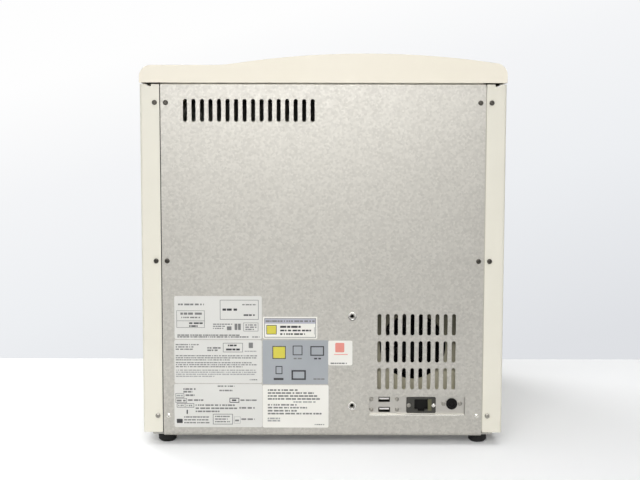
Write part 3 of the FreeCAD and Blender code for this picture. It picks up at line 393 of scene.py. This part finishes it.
# %% Slab, turned form and finisher
def slab(mesh, x0, x1, z0, z1, y0, y1, radius, slot=0):
    """A thin rounded slab facing +Y, with its outline from x0 to x1 and z0 to z1."""
    radius = min(radius, (x1 - x0) / 2 - 0.01, (z1 - z0) / 2 - 0.01)
    rim = []
    for cx, cz, turn in ((x1 - radius, z1 - radius, 0), (x0 + radius, z1 - radius, 90),
                         (x0 + radius, z0 + radius, 180), (x1 - radius, z0 + radius, 270)):
        steps = 6 if radius > 0.5 else 1
        for k in range(steps + 1):
            a = math.radians(turn + 90 * k / steps)
            rim.append(((cx + radius * math.cos(a)) * MM, (cz + radius * math.sin(a)) * MM))
    near = [mesh.verts.new((x, y1 * MM, z)) for x, z in rim]
    far = [mesh.verts.new((x, y0 * MM, z)) for x, z in rim]
    faces = [mesh.faces.new(near[::-1]), mesh.faces.new(far)]
    for i in range(len(rim)):
        j = (i + 1) % len(rim)
        faces.append(mesh.faces.new((near[i], near[j], far[j], far[i])))
    for face in faces:
        face.material_index = slot


def turned(mesh, x, z, profile, slot=0, count=48):
    """Turns (radius, y) points about the line through x and z, and returns the last ring."""
    ring = None
    for radius, y in profile:
        if radius < 0.01:
            fresh = [mesh.verts.new((x * MM, y * MM, z * MM))] * count
        else:
            turns = (2 * math.pi * k / count for k in range(count))
            fresh = [mesh.verts.new(((x + radius * math.cos(a)) * MM, y * MM,
                                     (z + radius * math.sin(a)) * MM)) for a in turns]
        if ring:
            for k in range(count):
                corners = []
                for v in (ring[k], ring[(k + 1) % count], fresh[(k + 1) % count], fresh[k]):
                    if v not in corners:
                        corners.append(v)
                mesh.faces.new(corners).material_index = slot
        ring = fresh
    return ring


def make_piece(name, mesh, materials, body="chassis"):
    """Turns a collected mesh into a piece that rides on a body."""
    bmesh.ops.recalc_face_normals(mesh, faces=mesh.faces)
    data = bpy.data.meshes.new(name)
    mesh.to_mesh(data)
    mesh.free()
    for material in materials:
        data.materials.append(material)
    piece = bpy.data.objects.new(name, data)
    bpy.context.scene.collection.objects.link(piece)
    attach(piece, body)
    return piece


PANEL_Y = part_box("rear_panel")[1][1]
BACK = PANEL_Y / MM

# %% [markdown]
# ## Screws with a cross recess
# The case is closed by pan-head screws. The model has their plain heads. Here every head gets a
# rounded crown and the cross recess for the driver. The crown is turned, its flat middle is filled
# round the outline of the cross, and the cross goes down to a smaller cross, as the driver's taper
# does. Places and sizes are read from the model's own screws, so the new heads take their places. The
# low row is bright and the rows above are dark: one kind of screw, with painted light and shade.

# %% Domed heads in place of the plain ones
def solids_of(name):
    """The lowest and highest corners of every separate solid in a node, in millimetres."""
    mesh = bmesh.new()
    mesh.from_mesh(nodes[name].data)
    bmesh.ops.remove_doubles(mesh, verts=mesh.verts, dist=0.001 * MM)
    waiting, found = set(mesh.verts), []
    while waiting:
        todo, group = [waiting.pop()], []
        while todo:
            vert = todo.pop()
            group.append(vert.co / MM)
            for edge in vert.link_edges:
                other = edge.other_vert(vert)
                if other in waiting:
                    waiting.remove(other)
                    todo.append(other)
        found.append([[pick(co[k] for co in group) for k in range(3)] for pick in (min, max)])
    mesh.free()
    return sorted(found)


def cross_outline(mesh, x, z, y, arm, width, turn):
    points = [(arm, width), (width, width), (width, arm), (-width, arm), (-width, width), (-arm, width),
              (-arm, -width), (-width, -width), (-width, -arm), (width, -arm), (width, -width), (arm, -width)]
    c, s = math.cos(turn), math.sin(turn)
    return [mesh.verts.new(((x + u * c - v * s) * MM, y * MM, (z + u * s + v * c) * MM)) for u, v in points]


def screw_head(mesh, x, z, seat, radius, height, turn, slot=0):
    """A pan head with its seat at this y, and a cross recess turned by this angle."""
    crown = [(1.0, 0.0), (1.0, 0.35), (0.94, 0.68), (0.8, 0.9), (0.62, 1.0)]
    rim = turned(mesh, x, z, [(share * radius, seat + up * height) for share, up in crown], slot)
    top = cross_outline(mesh, x, z, seat + height, 0.52 * radius, 0.15 * radius, turn)
    floor = cross_outline(mesh, x, z, seat + 0.35 * height, 0.36 * radius, 0.09 * radius, turn)
    pairs = [(ring[i - 1], ring[i]) for ring in (rim, top) for i in range(len(ring))]
    loops = [mesh.edges.get(pair) or mesh.edges.new(pair) for pair in pairs]
    for face in bmesh.ops.triangle_fill(mesh, use_beauty=True, use_dissolve=False, edges=loops)["geom"]:
        if isinstance(face, bmesh.types.BMFace):
            face.material_index = slot
    for i in range(12):
        j = (i + 1) % 12
        mesh.faces.new((top[i], top[j], floor[j], floor[i])).material_index = slot
    mesh.faces.new(floor).material_index = slot


def round_seats(name):
    """Centre x, centre z, radius and highest y of every round solid in a node."""
    return [((lo[0] + hi[0]) / 2, (lo[2] + hi[2]) / 2, (hi[0] - lo[0]) / 2, hi[1])
            for lo, hi in solids_of(name)]


TURN_STEP = 2.4
CASE_HEAD = 2.0
SMALL_HEAD = 1.2
WASHER_RADIUS = 4.5
heads = bmesh.new()
seats = round_seats("cover_screws")
lowest = min(z for x, z, r, y in seats)
panel_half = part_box("rear_panel")[1][0] / MM
for n, (x, z, r, y) in enumerate(seats):
    # Bright metal on the low row and dark on the rows above: painted light and shade on alike screws.
    metal = 2 if z > lowest + 10 else 0 if abs(x) < panel_half else 1
    screw_head(heads, x, z, y - CASE_HEAD, r, CASE_HEAD, TURN_STEP * n, metal)
case_heads = make_piece("case_screw_heads", heads, [nickel_bright, zinc_screw, dark_screw])
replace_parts(case_heads, "cover_screws")
heads = bmesh.new()
coupler_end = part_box("network_socket")[0][0] / MM
for n, (x, z, r, y) in enumerate(round_seats("io_screws")):
    screw_head(heads, x, z, y - SMALL_HEAD, r, SMALL_HEAD, TURN_STEP * n, 0 if 0 < x - coupler_end < 4 else 1)
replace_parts(make_piece("connector_screw_heads", heads, [nickel_bright, zinc_screw]), "io_screws")
heads = bmesh.new()
for n, (x, z, r, y) in enumerate(round_seats("bracket_screws")):
    if r > WASHER_RADIUS:
        turned(heads, x, z, [(3.0, BACK), (r, BACK), (r, y - 0.2), (r - 0.2, y), (3.6, y - 0.1),
                             (3.0, y - 0.6)], 0)
    else:
        screw_head(heads, x, z, BACK + 0.3, 3.5, y - BACK - 0.3, TURN_STEP * n, 1)
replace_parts(make_piece("bracket_screw_heads", heads, [nickel_bright, dark_screw]), "bracket_screws")
print("screw heads:", len(seats), "on the case")

# %% [markdown]
# ## The connectors' small metal parts
# The round power socket is a black moulding with two pressed metal ears, so it gets two materials:
# each ear is a rounded slab, and the socket is turned as one profile, from the outer rim over the lip
# down to the floor with its pin. The network coupler has a bronze shield spring beside its mouth and a
# black slab deep inside that mouth, darker than its own nylon: painted shade. A lip closes the channel
# below, in brighter nickel than the plate, which adds a painted highlight to its lit top.

# %% Round socket, shield spring and channel lip
lo, hi = (Vector(corner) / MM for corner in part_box("power_socket"))
plate_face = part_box("usb_sockets")[1][1] / MM
socket_x, socket_z = (lo.x + hi.x) / 2, (lo.z + hi.z) / 2
jack = bmesh.new()
for side in (-1, 1):
    ear = sorted((socket_x + side * 5.6, socket_x + side * (hi.x - lo.x) / 2))
    slab(jack, *ear, socket_z - 3.4, socket_z + 3.4, plate_face, plate_face + 1.1, 3.3, 1)
turned(jack, socket_x, socket_z, [(6.6, plate_face), (6.6, hi.y - 0.6), (6.2, hi.y), (4.3, hi.y),
                                  (4.0, hi.y - 0.3), (3.9, hi.y - 1.8), (1.2, hi.y - 1.8), (1.2, hi.y - 1.1),
                                  (0.8, hi.y - 0.8), (0.0, hi.y - 0.8)], 0)
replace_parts(make_piece("round_power_socket", jack, [connector_black, nickel_plate]),
            "power_socket")
lo, hi = (Vector(corner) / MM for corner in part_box("network_socket"))
middle = (lo.x + hi.x) / 2
spring = bmesh.new()
for k in range(3):
    edge = middle - 12.1 + 1.5 * k
    slab(spring, edge, edge + 1.2, hi.z - 16.0, hi.z - 2.2, hi.y - 0.6, hi.y + 0.15, 0.4)
make_piece("coupler_shield_spring", spring, [bronze_spring])
# A black slab deep in the coupler's mouth: painted shade inside the opening.
mouth_shade_slab = bmesh.new()
slab(mouth_shade_slab, middle - 7.7, middle + 7.7, hi.z - 16.2, hi.z - 2.6, hi.y - 4.4, hi.y - 4.1, 0.5)
make_piece("coupler_mouth_shade", mouth_shade_slab, [connector_black])
lo, hi = (Vector(corner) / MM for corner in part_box("io_plate"))
# The lip faces up into the light, and its nickel is brighter than the plate's: a painted highlight on top of
# that light.
lip = bmesh.new()
slab(lip, lo.x + 6.2, hi.x - 6.2, lo.z + 1.0, lo.z + 2.1, plate_face, BACK - 0.3, 0.5)
make_piece("channel_lip", lip, [nickel_bright])
print("connector details at y =", round(plate_face, 1), "mm")

# %% [markdown]
# ## Seals in the joints of the case
# Sheet-metal cases like this have a strip of conductive foam in their joints, which closes the gap to
# light, dust and radio noise. It is dark along one side cover, as painted shade in that gap, and grey
# along the other and under the moulded cover. Each strip is a thin slab that lies just inside its gap.

# %% Foam strips
panel_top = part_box("rear_panel")[1][2] / MM
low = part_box("side_cover_left")[0][2] / MM
# The dark strip on the left is painted shade in that gap.
for side, title, foam in ((1, "left", painted_shade_foam), (-1, "right", grey_foam)):
    strip = bmesh.new()
    inner, outer = sorted((side * (panel_half + 0.05), side * (panel_half + 1.05)))
    slab(strip, inner, outer, low + 1.0, panel_top - 3.0, BACK - 1.15, BACK - 0.7, 0.3)
    make_piece(f"side_foam_strip_{title}", strip, [foam])
strip = bmesh.new()
slab(strip, -panel_half + 4, panel_half - 4, panel_top + 0.05, panel_top + 0.75, BACK - 1.0, BACK - 0.15, 0.3)
make_piece("cover_foam_strip", strip, [grey_foam])

# %% [markdown]
# ## Cup numbers
# The carousel carries twelve cups, and a disc like this is numbered so that the operator can load it.
# The numbers are text curves turned into meshes and joined. They stand near the rim between the cups
# and read from outside, and the whole ring of them rides with the carousel.

# %% Numbers on the disc
lo, hi = (Vector(corner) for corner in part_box("carousel_disc"))
hub = (lo + hi) / 2
DISC_MM = 4.0
CUPS = 12
top_face = lo.z + DISC_MM * MM
number_ring = (hi.x - lo.x) / 2 - 5.0 * MM
figures = bmesh.new()
for n in range(CUPS):
    text = bpy.data.curves.new("figure", "FONT")
    text.body = str(n + 1)
    text.size = 6.0 * MM
    text.extrude = 0.03 * MM
    text.align_x = text.align_y = "CENTER"
    shape = bpy.data.objects.new("figure", text)
    bpy.context.scene.collection.objects.link(shape)
    bpy.context.view_layer.update()
    flat = bpy.data.meshes.new_from_object(shape)
    bpy.data.objects.remove(shape)
    angle = math.pi / 2 + 2 * math.pi * (n + 0.5) / CUPS
    spot = (hub.x + number_ring * math.cos(angle), hub.y + number_ring * math.sin(angle),
            top_face + 0.02 * MM)
    flat.transform(Matrix.Translation(spot) @ Matrix.Rotation(angle + math.pi / 2, 4, "Z"))
    figures.from_mesh(flat)
    bpy.data.meshes.remove(flat)
make_piece("cup_numbers", figures, [white_print], body="carousel")

# %% [markdown]
# ## Stickers on the rear panel
# A machine like this carries rating and notice stickers low on its back. Here they are generic:
# polyester film with rounded corners, with rows of short grey bars where small print would be, empty
# boxes and plain colour blocks. Each sticker is a thin slab with its own rounded outline. The print is
# a set of thinner slabs on top, joined into one piece, so that film and ink keep their own materials.

# %% Film and ink
def film(name, hex_main, hex_shade, rough, metal=0.0):
    material, tree = start(name)
    at = add(tree, "ShaderNodeTexCoord").outputs["Object"]
    cloud = add(tree, "ShaderNodeTexNoise", {"Vector": at, "Scale": per_mm(30), "Detail": 3.0})
    colour = add(tree, "ShaderNodeMix", {"Factor": cloud.outputs["Fac"], "A": linear(hex_shade),
                                         "B": linear(hex_main)}, data_type="RGBA")
    bump = add(tree, "ShaderNodeBump", {"Height": cloud.outputs["Fac"], "Strength": 0.3,
                                        "Distance": 0.2 * MM})
    close(tree, add(tree, "ShaderNodeBsdfPrincipled", {
        "Base Color": colour, "Roughness": rough, "Metallic": metal, "IOR": 1.5, "Normal": bump}))
    return material


white_film = film("white_polyester_film", "dfded9", "d7d6d1", 0.4)
warm_film = film("warm_white_paper_label", "eeece5", "e6e4dc", 0.5)
silver_film = film("silver_polyester_film", "acb0b4", "9fa3a7", 0.42, metal=0.2)
light_ink = film("light_grey_printing_ink", "a4a4a2", "9a9a98", 0.5)
grey_ink = film("grey_printing_ink", "7e7e7c", "747472", 0.5)
dark_ink = film("dark_printing_ink", "38383a", "303032", 0.45)
header_ink = film("lavender_grey_printing_ink", "b4b4bf", "acacb8", 0.5)
yellow_ink = film("yellow_printing_ink", "d8cd4e", "d0c446", 0.45)
coral_ink = film("coral_printing_ink", "e8968a", "e08c80", 0.45)

# %% [markdown]
# Small print is too small to read at this distance, and shows as broken grey rows. The bar lengths
# come from a short counting sequence, so that they look uneven but are the same at every run. Marks
# are written as (x, z, width, height, ink), in millimetres from the sticker's upper left as it is seen.

# %% Rows, boxes and the sticker itself
LIGHT, GREY, DARK, FOURTH, BAND = 1, 2, 3, 4, 5


def small_print(x, z, width, height=1.2, ink=GREY, start_at=1):
    """One row of short bars that together are this wide."""
    bars, at, n = [], 0.0, start_at
    while at < width:
        n = (n * 37 + 11) % 101
        bar = min(height * (0.7 + n / 38), width - at)
        if bar > 0.3 * height:
            bars.append((x + at, z, bar, height, ink))
        at += bar + height * (0.35 if n % 3 else 0.8)
    return bars


def rows(x, z, widths, pitch, height=1.2, ink=GREY):
    """Rows of small print below each other, one for each width."""
    return [bar for i, width in enumerate(widths)
            for bar in small_print(x, z + pitch * i, width, height, ink, 3 + 7 * i + int(z))]


def box_lines(x, z, w, h, line=0.5, ink=GREY):
    """Four bars that frame an empty box."""
    return [(x, z, w, line, ink), (x, z + h - line, w, line, ink), (x, z, line, h, ink),
            (x + w - line, z, line, h, ink)]


FILM_MM = 0.15


def sticker(name, left, right, low, high, base, marks, radius=2.0, fourth=coral_ink):
    """A sticker between these edges, as seen from behind, and its print in one piece."""
    mesh = bmesh.new()
    top = BACK + FILM_MM
    slab(mesh, right, left, low, high, BACK, top, radius)
    for x, z, w, h, ink in marks:
        above = 0.015 if ink == BAND else 0.03
        slab(mesh, left - x - w, left - x, high - z - h, high - z, top - 0.01, top + above,
             1.2 if ink == FOURTH else 0.2, ink)
    return make_piece(name, mesh, [base, light_ink, grey_ink, dark_ink, fourth, header_ink])


# %% The three rating stickers
upper = (rows(4.5, 8.9, [30], 1, 2.0) + box_lines(2.4, 17.0, 32.8, 12.4) + box_lines(2.4, 28.9, 32.8, 8.4)
         + rows(7, 19.4, [25], 1, 2.6) + rows(8, 24.4, [22], 1, 1.6) + rows(17, 31, [16, 10], 3.4, 1.8, DARK)
         + box_lines(53, 4.5, 45, 23.2, 0.6) + rows(56, 14.6, [17], 1, 2.6, DARK)
         + rows(79, 9.4, [16], 1, 1.4) + rows(80.5, 21.4, [13], 1, 1.8, DARK)
         + rows(44.8, 32.4, [22.5, 14, 13], 2.5, 1.3)
         + [(61, 35.6, 5.4, 4.4, GREY), (70, 32.4, 3.2, 7.4, GREY), (74, 32.4, 3.2, 7.4, GREY)]
         + box_lines(80.2, 31.2, 17.4, 10.2) + rows(82.5, 33.2, [13, 13, 10], 2.6, 1.4)
         + rows(3.2, 45.2, [73, 83], 2.1, 1.5) + rows(90.4, 47.4, [8.6], 1, 1.3))
middle = (rows(1.6, 4.8, [27, 21, 20], 2.7, 1.4) + rows(38.5, 8.4, [15.5, 12], 2.8, 1.8)
          + box_lines(56.8, 3.4, 23.2, 11, 0.6) + rows(62.5, 5.4, [12], 1, 1.9, DARK)
          + rows(60.4, 10.0, [16], 1, 2.2, DARK)
          + [(86.8, 3.0, 5, 6.4, GREY)] + rows(82, 12.6, [14], 1, 1.2, LIGHT)
          + rows(1.6, 18.0, [95, 94, 63], 2.45, 1.2) + rows(1.6, 26.2, [89, 95, 78], 2.4, 1.2)
          + rows(1.6, 35.0, [93, 94, 92, 45], 2.45, 1.3, LIGHT) + rows(87.8, 46.3, [9.6], 1, 1.2))
lower = (rows(10.6, 5.1, [14.4, 10.6], 3.2, 2.0) + rows(50.8, 1.8, [20], 1, 1.6)
         + rows(52.8, 6.9, [15.6], 1, 1.7) + box_lines(1.4, 11.0, 10.2, 5.4, 0.6)
         + rows(2.8, 12.9, [7.2], 1, 1.8, LIGHT) + rows(13.2, 12.4, [10.6], 1, 2.0)
         + box_lines(1.4, 16.9, 13.4, 5.6, 0.6) + rows(2.8, 18.8, [10.4], 1, 2.0)
         + rows(16, 18.3, [18], 1, 1.9) + box_lines(2.8, 22.9, 20.4, 5.2, 0.7)
         + [(12.2, 22.9, 0.6, 5.2, GREY)] + rows(4.6, 24.8, [6.2], 1, 1.7) + rows(14.2, 24.8, [7.2], 1, 1.7)
         + rows(24.8, 24.3, [46, 49, 28], 3.7, 1.8) + rows(76, 27.4, [18], 1, 2.0)
         + box_lines(64.6, 16.5, 11.4, 5.8, 0.8, DARK) + rows(67.4, 18.4, [5.8], 1, 1.8, DARK)
         + rows(77.4, 18.4, [20], 1, 1.7) + [(14.2, 30.8, 1.5, 5.0, DARK), (2.6, 41.6, 7.0, 5.0, DARK)]
         + rows(11.2, 38.6, [30, 29, 30], 3.4, 1.5) + box_lines(45.0, 35.6, 23.4, 12.6, 0.7)
         + rows(47.4, 38.0, [18, 15, 18], 3.1, 1.4) + box_lines(69.8, 38.8, 7.6, 8.2, 0.4, LIGHT)
         + rows(71, 42.4, [5.4], 1, 2.0) + rows(78.4, 40.9, [15.6], 1, 1.9))
print("rating stickers:", len(upper) + len(middle) + len(lower), "marks")

# %% The bordered, silver, ruled and round-marked stickers
bordered = ([(1.8, 1.9, 59.8, 6.2, BAND)] + box_lines(1.6, 1.7, 60.2, 22.8, 0.7)
            + rows(3.2, 4.2, [57], 1, 1.9) + rows(20, 10.6, [24], 1, 2.4, DARK)
            + rows(20, 15.2, [36, 29], 4.2, 1.9, DARK)
            + [(59.6, 12.0, 0.6, 9.0, LIGHT), (4.6, 10.4, 10.8, 9.8, FOURTH)]
            + box_lines(4.0, 9.8, 12.0, 11.0, 0.7, DARK))
silver = ([(12.2, 7.8, 14.0, 13.6, FOURTH)] + box_lines(11.4, 7.0, 15.6, 15.2, 0.9, DARK)
          + box_lines(35, 6.4, 11.4, 11.4, 1.0, DARK) + rows(36.2, 20.9, [9.4], 1, 1.6)
          + box_lines(55.6, 7.0, 16, 11.4, 1.3, DARK) + rows(60, 20.9, [8], 1, 1.7, DARK)
          + box_lines(15, 30.6, 8, 9.6, 1.0, DARK) + [(12.8, 44.8, 11.4, 2.4, DARK)]
          + box_lines(33.6, 35.4, 16.8, 11.6, 1.8, DARK) + rows(59.2, 45.2, [13], 1, 1.5))
ruled = (rows(6, 5.0, [37, 54, 58, 61], 3.5, 1.9) + rows(36, 19.2, [26], 1, 1.7, LIGHT)
         + rows(6, 22.6, [34, 46], 3.4, 1.8) + rows(6, 29.6, [34, 63], 3.4, 1.9)
         + rows(5.8, 38.8, [14.6, 14.6], 2.7, 1.9, LIGHT) + rows(61, 46.4, [11.4], 1, 1.2))
marked = ([(8.2, 2.6, 10.6, 11.2, FOURTH), (6.6, 15.8, 16.4, 0.9, FOURTH)] + rows(2.8, 26.0, [19], 1, 1.6))

# %% All seven, by their edges in millimetres: left, right, low and high
for details in (("rating_sticker_upper", 172.6, 70.9, 125.8, 176.5, white_film, upper),
                ("rating_sticker_middle", 173.1, 71.1, 73.8, 124.8, white_film, middle),
                ("rating_sticker_lower", 173.6, 70.6, 21.4, 72.8, white_film, lower),
                ("bordered_sticker", 69.6, 6.3, 126.5, 152.3, warm_film, bordered, 1.2, yellow_ink),
                ("silver_sticker", 70.0, -6.4, 72.6, 124.8, silver_film, silver, 0.6, yellow_ink),
                ("ruled_sticker", 70.2, -7.0, 21.0, 71.6, warm_film, ruled, 1.8),
                ("round_marked_sticker", -6.4, -34.7, 95.1, 124.3, warm_film, marked)):
    sticker(*details)

# %% [markdown]
# ## Stage, lamps and camera
# The machine stands on a white table in a pale room. The table takes the machine's shadow. The room
# is a plain gradient, white overhead and a little greyer towards the ground, and the camera, metal
# and glass all see it. In mirrors the room is darker behind the camera, as real rooms are. The key
# lamp stands there, rather low and near: its light falls off down the panel, and zinc mirrors it
# broadly near the top, which is what the real panel shows. The lamp over the top is narrowed, so that
# it brightens the table more than the walls of the machine.

# %% Table
table_white, tree = start("white_laminate_table")
at = add(tree, "ShaderNodeTexCoord").outputs["Object"]
mottle = add(tree, "ShaderNodeTexNoise", {"Vector": at, "Scale": 3.0})
colour = add(tree, "ShaderNodeMix", {"Factor": mottle.outputs["Fac"], "A": linear("fafbfc"),
                                     "B": linear("ffffff")}, data_type="RGBA")
GLOW_SHARE = 0.1
seen = add(tree, "ShaderNodeMath", {0: add(tree, "ShaderNodeLightPath").outputs["Is Camera Ray"],
                                    1: GLOW_SHARE}, operation="MULTIPLY")
matt = add(tree, "ShaderNodeBsdfPrincipled", {"Base Color": colour, "Roughness": 0.8})
shine = add(tree, "ShaderNodeEmission", {"Color": linear("fcfdfe"), "Strength": 1.0})
close(tree, add(tree, "ShaderNodeMixShader", {"Fac": seen, 1: matt, 2: shine}))
data = bpy.data.meshes.new("table_top")
HALF_WIDTH, FRONT_EDGE, BACK_EDGE = 1.3, -0.29, 1.0
data.from_pydata([(-HALF_WIDTH, FRONT_EDGE, 0), (HALF_WIDTH, FRONT_EDGE, 0), (HALF_WIDTH, BACK_EDGE, 0),
                  (-HALF_WIDTH, BACK_EDGE, 0)], [], [(0, 1, 2, 3)])
data.materials.append(table_white)
table = bpy.data.objects.new("table_top", data)
bpy.context.scene.collection.objects.link(table)

# %% World and lamps
world = bpy.data.worlds.new("soft_studio")
bpy.context.scene.world = world
world.use_nodes = True
sky = world.node_tree
sky.nodes.clear()
ray = add(sky, "ShaderNodeLightPath")
seen = add(sky, "ShaderNodeMath", {0: ray.outputs["Is Camera Ray"], 1: ray.outputs["Is Glossy Ray"]},
           operation="MAXIMUM")
seen = add(sky, "ShaderNodeMath", {0: seen, 1: ray.outputs["Is Transmission Ray"]}, operation="MAXIMUM")
heading = add(sky, "ShaderNodeSeparateXYZ", {"Vector": add(sky, "ShaderNodeTexCoord").outputs["Generated"]})
SIDE_SHARE = 0.3
tilt = add(sky, "ShaderNodeMath", {0: heading.outputs["X"], 1: SIDE_SHARE, 2: heading.outputs["Z"]},
           operation="MULTIPLY_ADD")
shade = add(sky, "ShaderNodeMapRange", {"Value": tilt, "From Min": -1.0, "From Max": 1.0})
room = add(sky, "ShaderNodeValToRGB", {"Fac": shade.outputs["Result"]})
stops = room.color_ramp.elements
stops[0].position, stops[0].color = 0.0, linear("c4c6c9")
stops[1].position, stops[1].color = 0.57, linear("fefefe")
for place, code in ((0.38, "dfe1e5"), (0.46, "edeff2"), (0.52, "f4f5f7")):
    stops.new(place).color = linear(code)
fill_light = add(sky, "ShaderNodeBackground", {"Color": linear("e6eef8"), "Strength": 0.06})
behind = add(sky, "ShaderNodeMapRange", {"Value": heading.outputs["Y"], "From Min": 0.0, "From Max": 0.5})
dimmed = add(sky, "ShaderNodeMath", {0: behind, 1: ray.outputs["Is Glossy Ray"]}, operation="MULTIPLY")
DIMMING = -0.85
level = add(sky, "ShaderNodeMath", {0: dimmed, 1: DIMMING, 2: 1.0}, operation="MULTIPLY_ADD")
backdrop = add(sky, "ShaderNodeBackground", {"Color": room.outputs["Color"], "Strength": level})
mixed = add(sky, "ShaderNodeMixShader", {"Fac": seen, 1: fill_light, 2: backdrop})
add(sky, "ShaderNodeOutputWorld", {"Surface": mixed})


def softbox(name, place, aim, size, watts, spread=180):
    data = bpy.data.lights.new(name, "AREA")
    data.shape = "RECTANGLE"
    data.size, data.size_y = size
    data.energy = watts
    data.spread = math.radians(spread)
    lamp = bpy.data.objects.new(name, data)
    lamp.location = place
    lamp.rotation_euler = (Vector(aim) - Vector(place)).to_track_quat("-Z", "Y").to_euler()
    bpy.context.scene.collection.objects.link(lamp)


CENTRE = (0, 0, 0.22)
softbox("key_behind_camera", (0.1, 1.65, 0.86), (0, PANEL_Y, 0.35), (1.1, 0.6), 14.9)
softbox("fill_right", (-1.8, 1.4, 1.1), CENTRE, (1.2, 1.2), 3)
softbox("front_left", (1.4, -1.8, 1.3), CENTRE, (1.6, 1.6), 40)
softbox("over_top", (0, 0.3, 2.2), CENTRE, (2.4, 2.4), 12.5, 90)

# %% [markdown]
# The camera stands a little over a metre behind the machine, slightly above its middle, and looks
# down by about five degrees. Those numbers come from fitting the panel's edges, the vents and the
# feet of the photograph. The focal length follows from the same fit, in pixels of a 640-wide image.

# %% Camera
IMAGE_W = 640
FOCAL_PX = 1041.7
CAMERA_AT = (3.36 * MM, PANEL_Y + 1.2, 343.45 * MM)
PITCH_DEG = 4.833
ROLL_DEG = 0.1
lens = bpy.data.cameras.new("camera")
lens.sensor_width = 36.0
lens.lens = FOCAL_PX * lens.sensor_width / IMAGE_W
camera = bpy.data.objects.new("camera", lens)
camera.matrix_world = (Matrix.Translation(CAMERA_AT) @ Matrix.Rotation(math.pi, 4, "Z")
                       @ Matrix.Rotation(math.radians(90 - PITCH_DEG), 4, "X")
                       @ Matrix.Rotation(math.radians(ROLL_DEG), 4, "Z"))
bpy.context.scene.collection.objects.link(camera)
bpy.context.scene.camera = camera
bpy.context.scene.view_settings.view_transform = "Standard"

# %% [markdown]
# ## Edge bevels and the end
# The bevels go on last, on every node that is shown.

# %% Bevels
for name in dressed:
    soften(nodes[name], EDGE_MM.get(name, SMALL_EDGE_MM))
